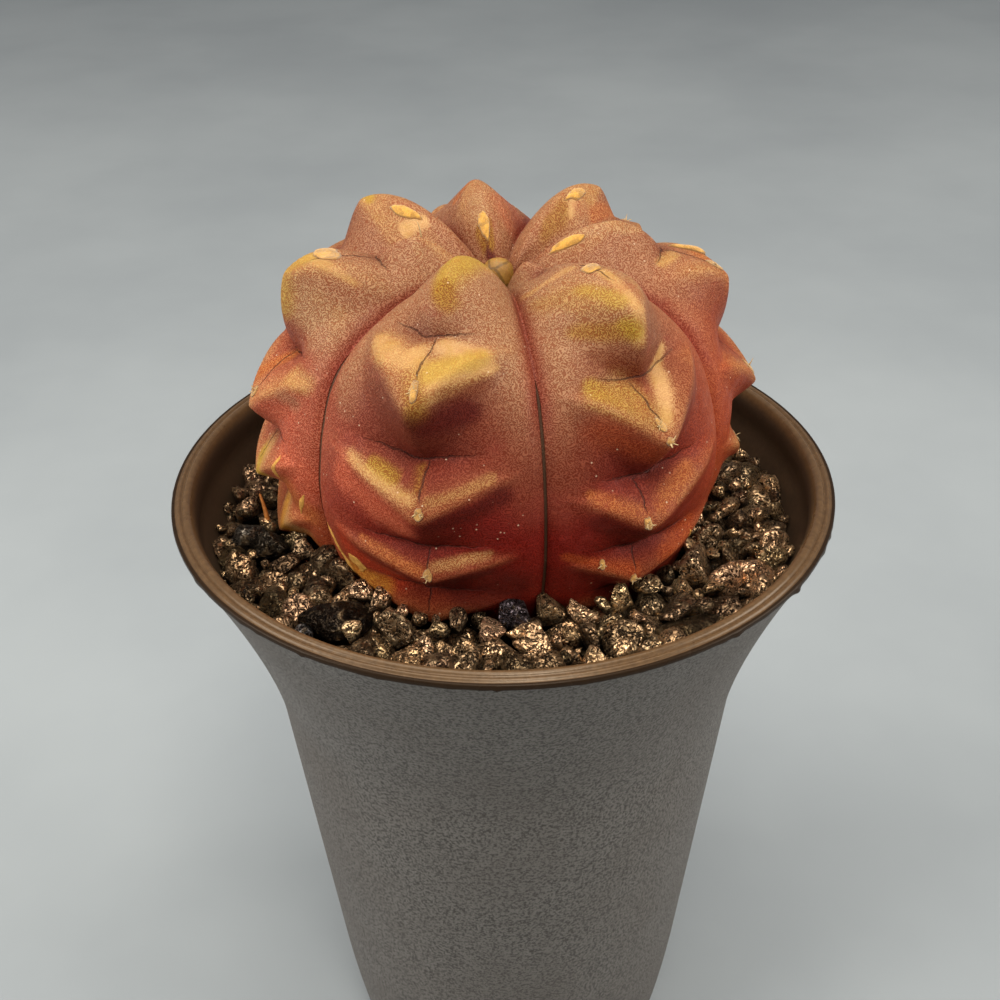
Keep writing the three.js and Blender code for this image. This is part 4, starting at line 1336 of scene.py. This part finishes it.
stone_sets, tints = [], []
for chosen, (squares, crinkle) in ((detailed, FINE_GRADE), (~detailed, PLAIN_GRADE)):
    rows = np.flatnonzero(chosen)
    places = settled[rows]
    ball, quads = rounded_cube(squares)
    flatness = random.uniform(0.55, 0.95, len(places))
    is_odd = rows < len(odd)
    flatness[is_odd] = [ODD_STONES[row][3] for row in rows[is_odd]]
    shapes = stone_shapes(ball, places, flatness, crinkle, random)
    tilts = random_turns(len(places), random)
    tilts[is_odd] = np.eye(3)
    shapes = np.einsum("sij,svj->svi", tilts, shapes) * places[:, None, 3:] + places[:, None, :3]
    wall = pot_inner_radius(POT_HEIGHT - shapes[..., 2]) - STONE_WALL_GAP
    shapes[..., :2] *= np.minimum(1, wall / np.hypot(shapes[..., 0], shapes[..., 1]))[..., None]
    starts = np.arange(len(places)) * len(ball)
    stone_faces = (quads[None] + starts[:, None, None]).reshape(-1, 4)
    stone_sets.append((shapes.reshape(-1, 3), stone_faces.tolist()))
    stone_tint = BRASS * random.uniform(*BRIGHTNESS, (len(places), 1))
    stone_tint = stone_tint * (1 + random.uniform(-0.05, 0.05, (len(places), 3)))
    # Painted shade on the stones left of the stem
    stone_tint *= np.interp(places[:, :1], LEFT_STONES, LEFT_PAINTED_SHADE)
    for spot in np.flatnonzero(is_odd):
        stone_tint[spot] = srgb(*ODD_STONES[rows[spot]][4])
    # Painted shade: each stone darkens low on its sides and underneath
    height_in_stone = (shapes[..., 2] - places[:, None, 2]) / places[:, None, 3]
    painted_underside_shade = UNDERSIDE_SHADE + (1 - UNDERSIDE_SHADE) * step_up(height_in_stone, -0.3, 0.45)
    tints.append((stone_tint[:, None] * painted_underside_shade[..., None]).reshape(-1, 3))

# The bed under the stones: a ring between the stem's socket and the wall, with a lumpy top. Its
# near-black colour is painted shade in the gaps between the stones
angles = np.arange(BED_COLUMNS) / BED_COLUMNS * 2 * math.pi - math.pi
section = [(0.0, BED_BOTTOM), (0.0, BED_MIDDLE), (0.0, BED_TOP)]
section += [(share, BED_TOP) for share in np.linspace(0.04, 0.96, 16)]
section += [(1.0, BED_TOP), (1.0, BED_MIDDLE), (1.0, BED_BOTTOM)]
bed = []
for share, height in section:
    socket = np.interp(angles, *stem_outline(height), period=2 * math.pi) + BED_GAP
    wall = float(pot_inner_radius(POT_HEIGHT - height)) - BED_GAP
    across_wall = wall**2 - (STEM_Y * np.cos(angles)) ** 2
    reach = -STEM_Y * np.sin(angles) + np.sqrt(across_wall)
    distance = socket + share * (reach - socket)
    x = STEM_X + distance * np.cos(angles)
    y = STEM_Y + distance * np.sin(angles)
    ring = np.stack([x, y, np.full(BED_COLUMNS, float(height))], -1)
    if 0 < share < 1:
        ring[:, 2] += 0.5 * lattice_noise(ring, 1.6, 52)
    bed.append(ring)
stone_sets.append(skin_over(np.stack(bed)))
tints.append(np.repeat([BED_SHADE], len(stone_sets[-1][0]), axis=0))

clinker = Finish("gravel_clinker", Metallic=0.9)
stone_tone = clinker.attribute("stone_tint", "Color")
folds = clinker.noise(1600, detail=2, roughness=0.5, distortion=1.0)
crease_distance = clinker.maths("ABSOLUTE", clinker.maths("SUBTRACT", folds, 0.5))
plates = clinker.map(crease_distance, 0.01, 0.08)
lumps = clinker.noise(760, detail=1.5, distortion=0.6)
# Painted shade in the creases between the folds' plates
shaded_creases = clinker.mix(0.95, stone_tone, CREASE_SHADE)
stone_colour = clinker.mix(plates, shaded_creases, stone_tone)
worn_share = clinker.map(lumps, 0.55, 0.72, 0.0, 0.3)
stone_colour = clinker.mix(worn_share, stone_colour, srgb(196, 168, 128))
stone_relief = clinker.bump(lumps, 0.0008, 0.9)
clinker.dress(
    Base_Color=stone_colour,
    Roughness=clinker.map(lumps, 0.3, 0.7, 0.26, 0.4),
    Normal=clinker.bump(plates, 0.00035, 1.0, under=stone_relief),
)

points, faces = joined(stone_sets)
gravel = make_piece("gravel_stones", points, faces, clinker.material)
give_colours(gravel, "stone_tint", np.concatenate(tints))
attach(gravel, "root")
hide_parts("gravel")


# Dry stalk
# A scrap of dried orange plant stalk that was left in the gravel. It stands among the stones on the
# left, which hold it.

STALK_FOOT = (-30.8, -2.6, 90.2)
STALK_WAY = (-0.12, 0.42, 0.9)
STALK_LENGTH = 4.2
STALK_RADIUS = 0.42
STALK_BEND = (-0.12, 0.05, 0.0)

stalk_finish = Finish("dry_stalk", Roughness=0.6)
stalk_grain = stalk_finish.noise(1800, detail=4, roughness=0.7)
stalk_colour = stalk_finish.mix(stalk_grain, srgb(120, 56, 18), srgb(222, 140, 48))
stalk_finish.dress(Base_Color=stalk_colour, Normal=stalk_finish.bump(stalk_grain, 0.0002, 0.8))
way = np.array(STALK_WAY) / np.linalg.norm(STALK_WAY)
foot = np.array(STALK_FOOT)
rings, base, tip = stub_rings(foot, way, STALK_LENGTH, STALK_RADIUS, np.array(STALK_BEND))
points, faces = skin_over(rings, base, tip)
stalk = make_piece("dry_stalk", points, faces, stalk_finish.material)
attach(stalk, "root")
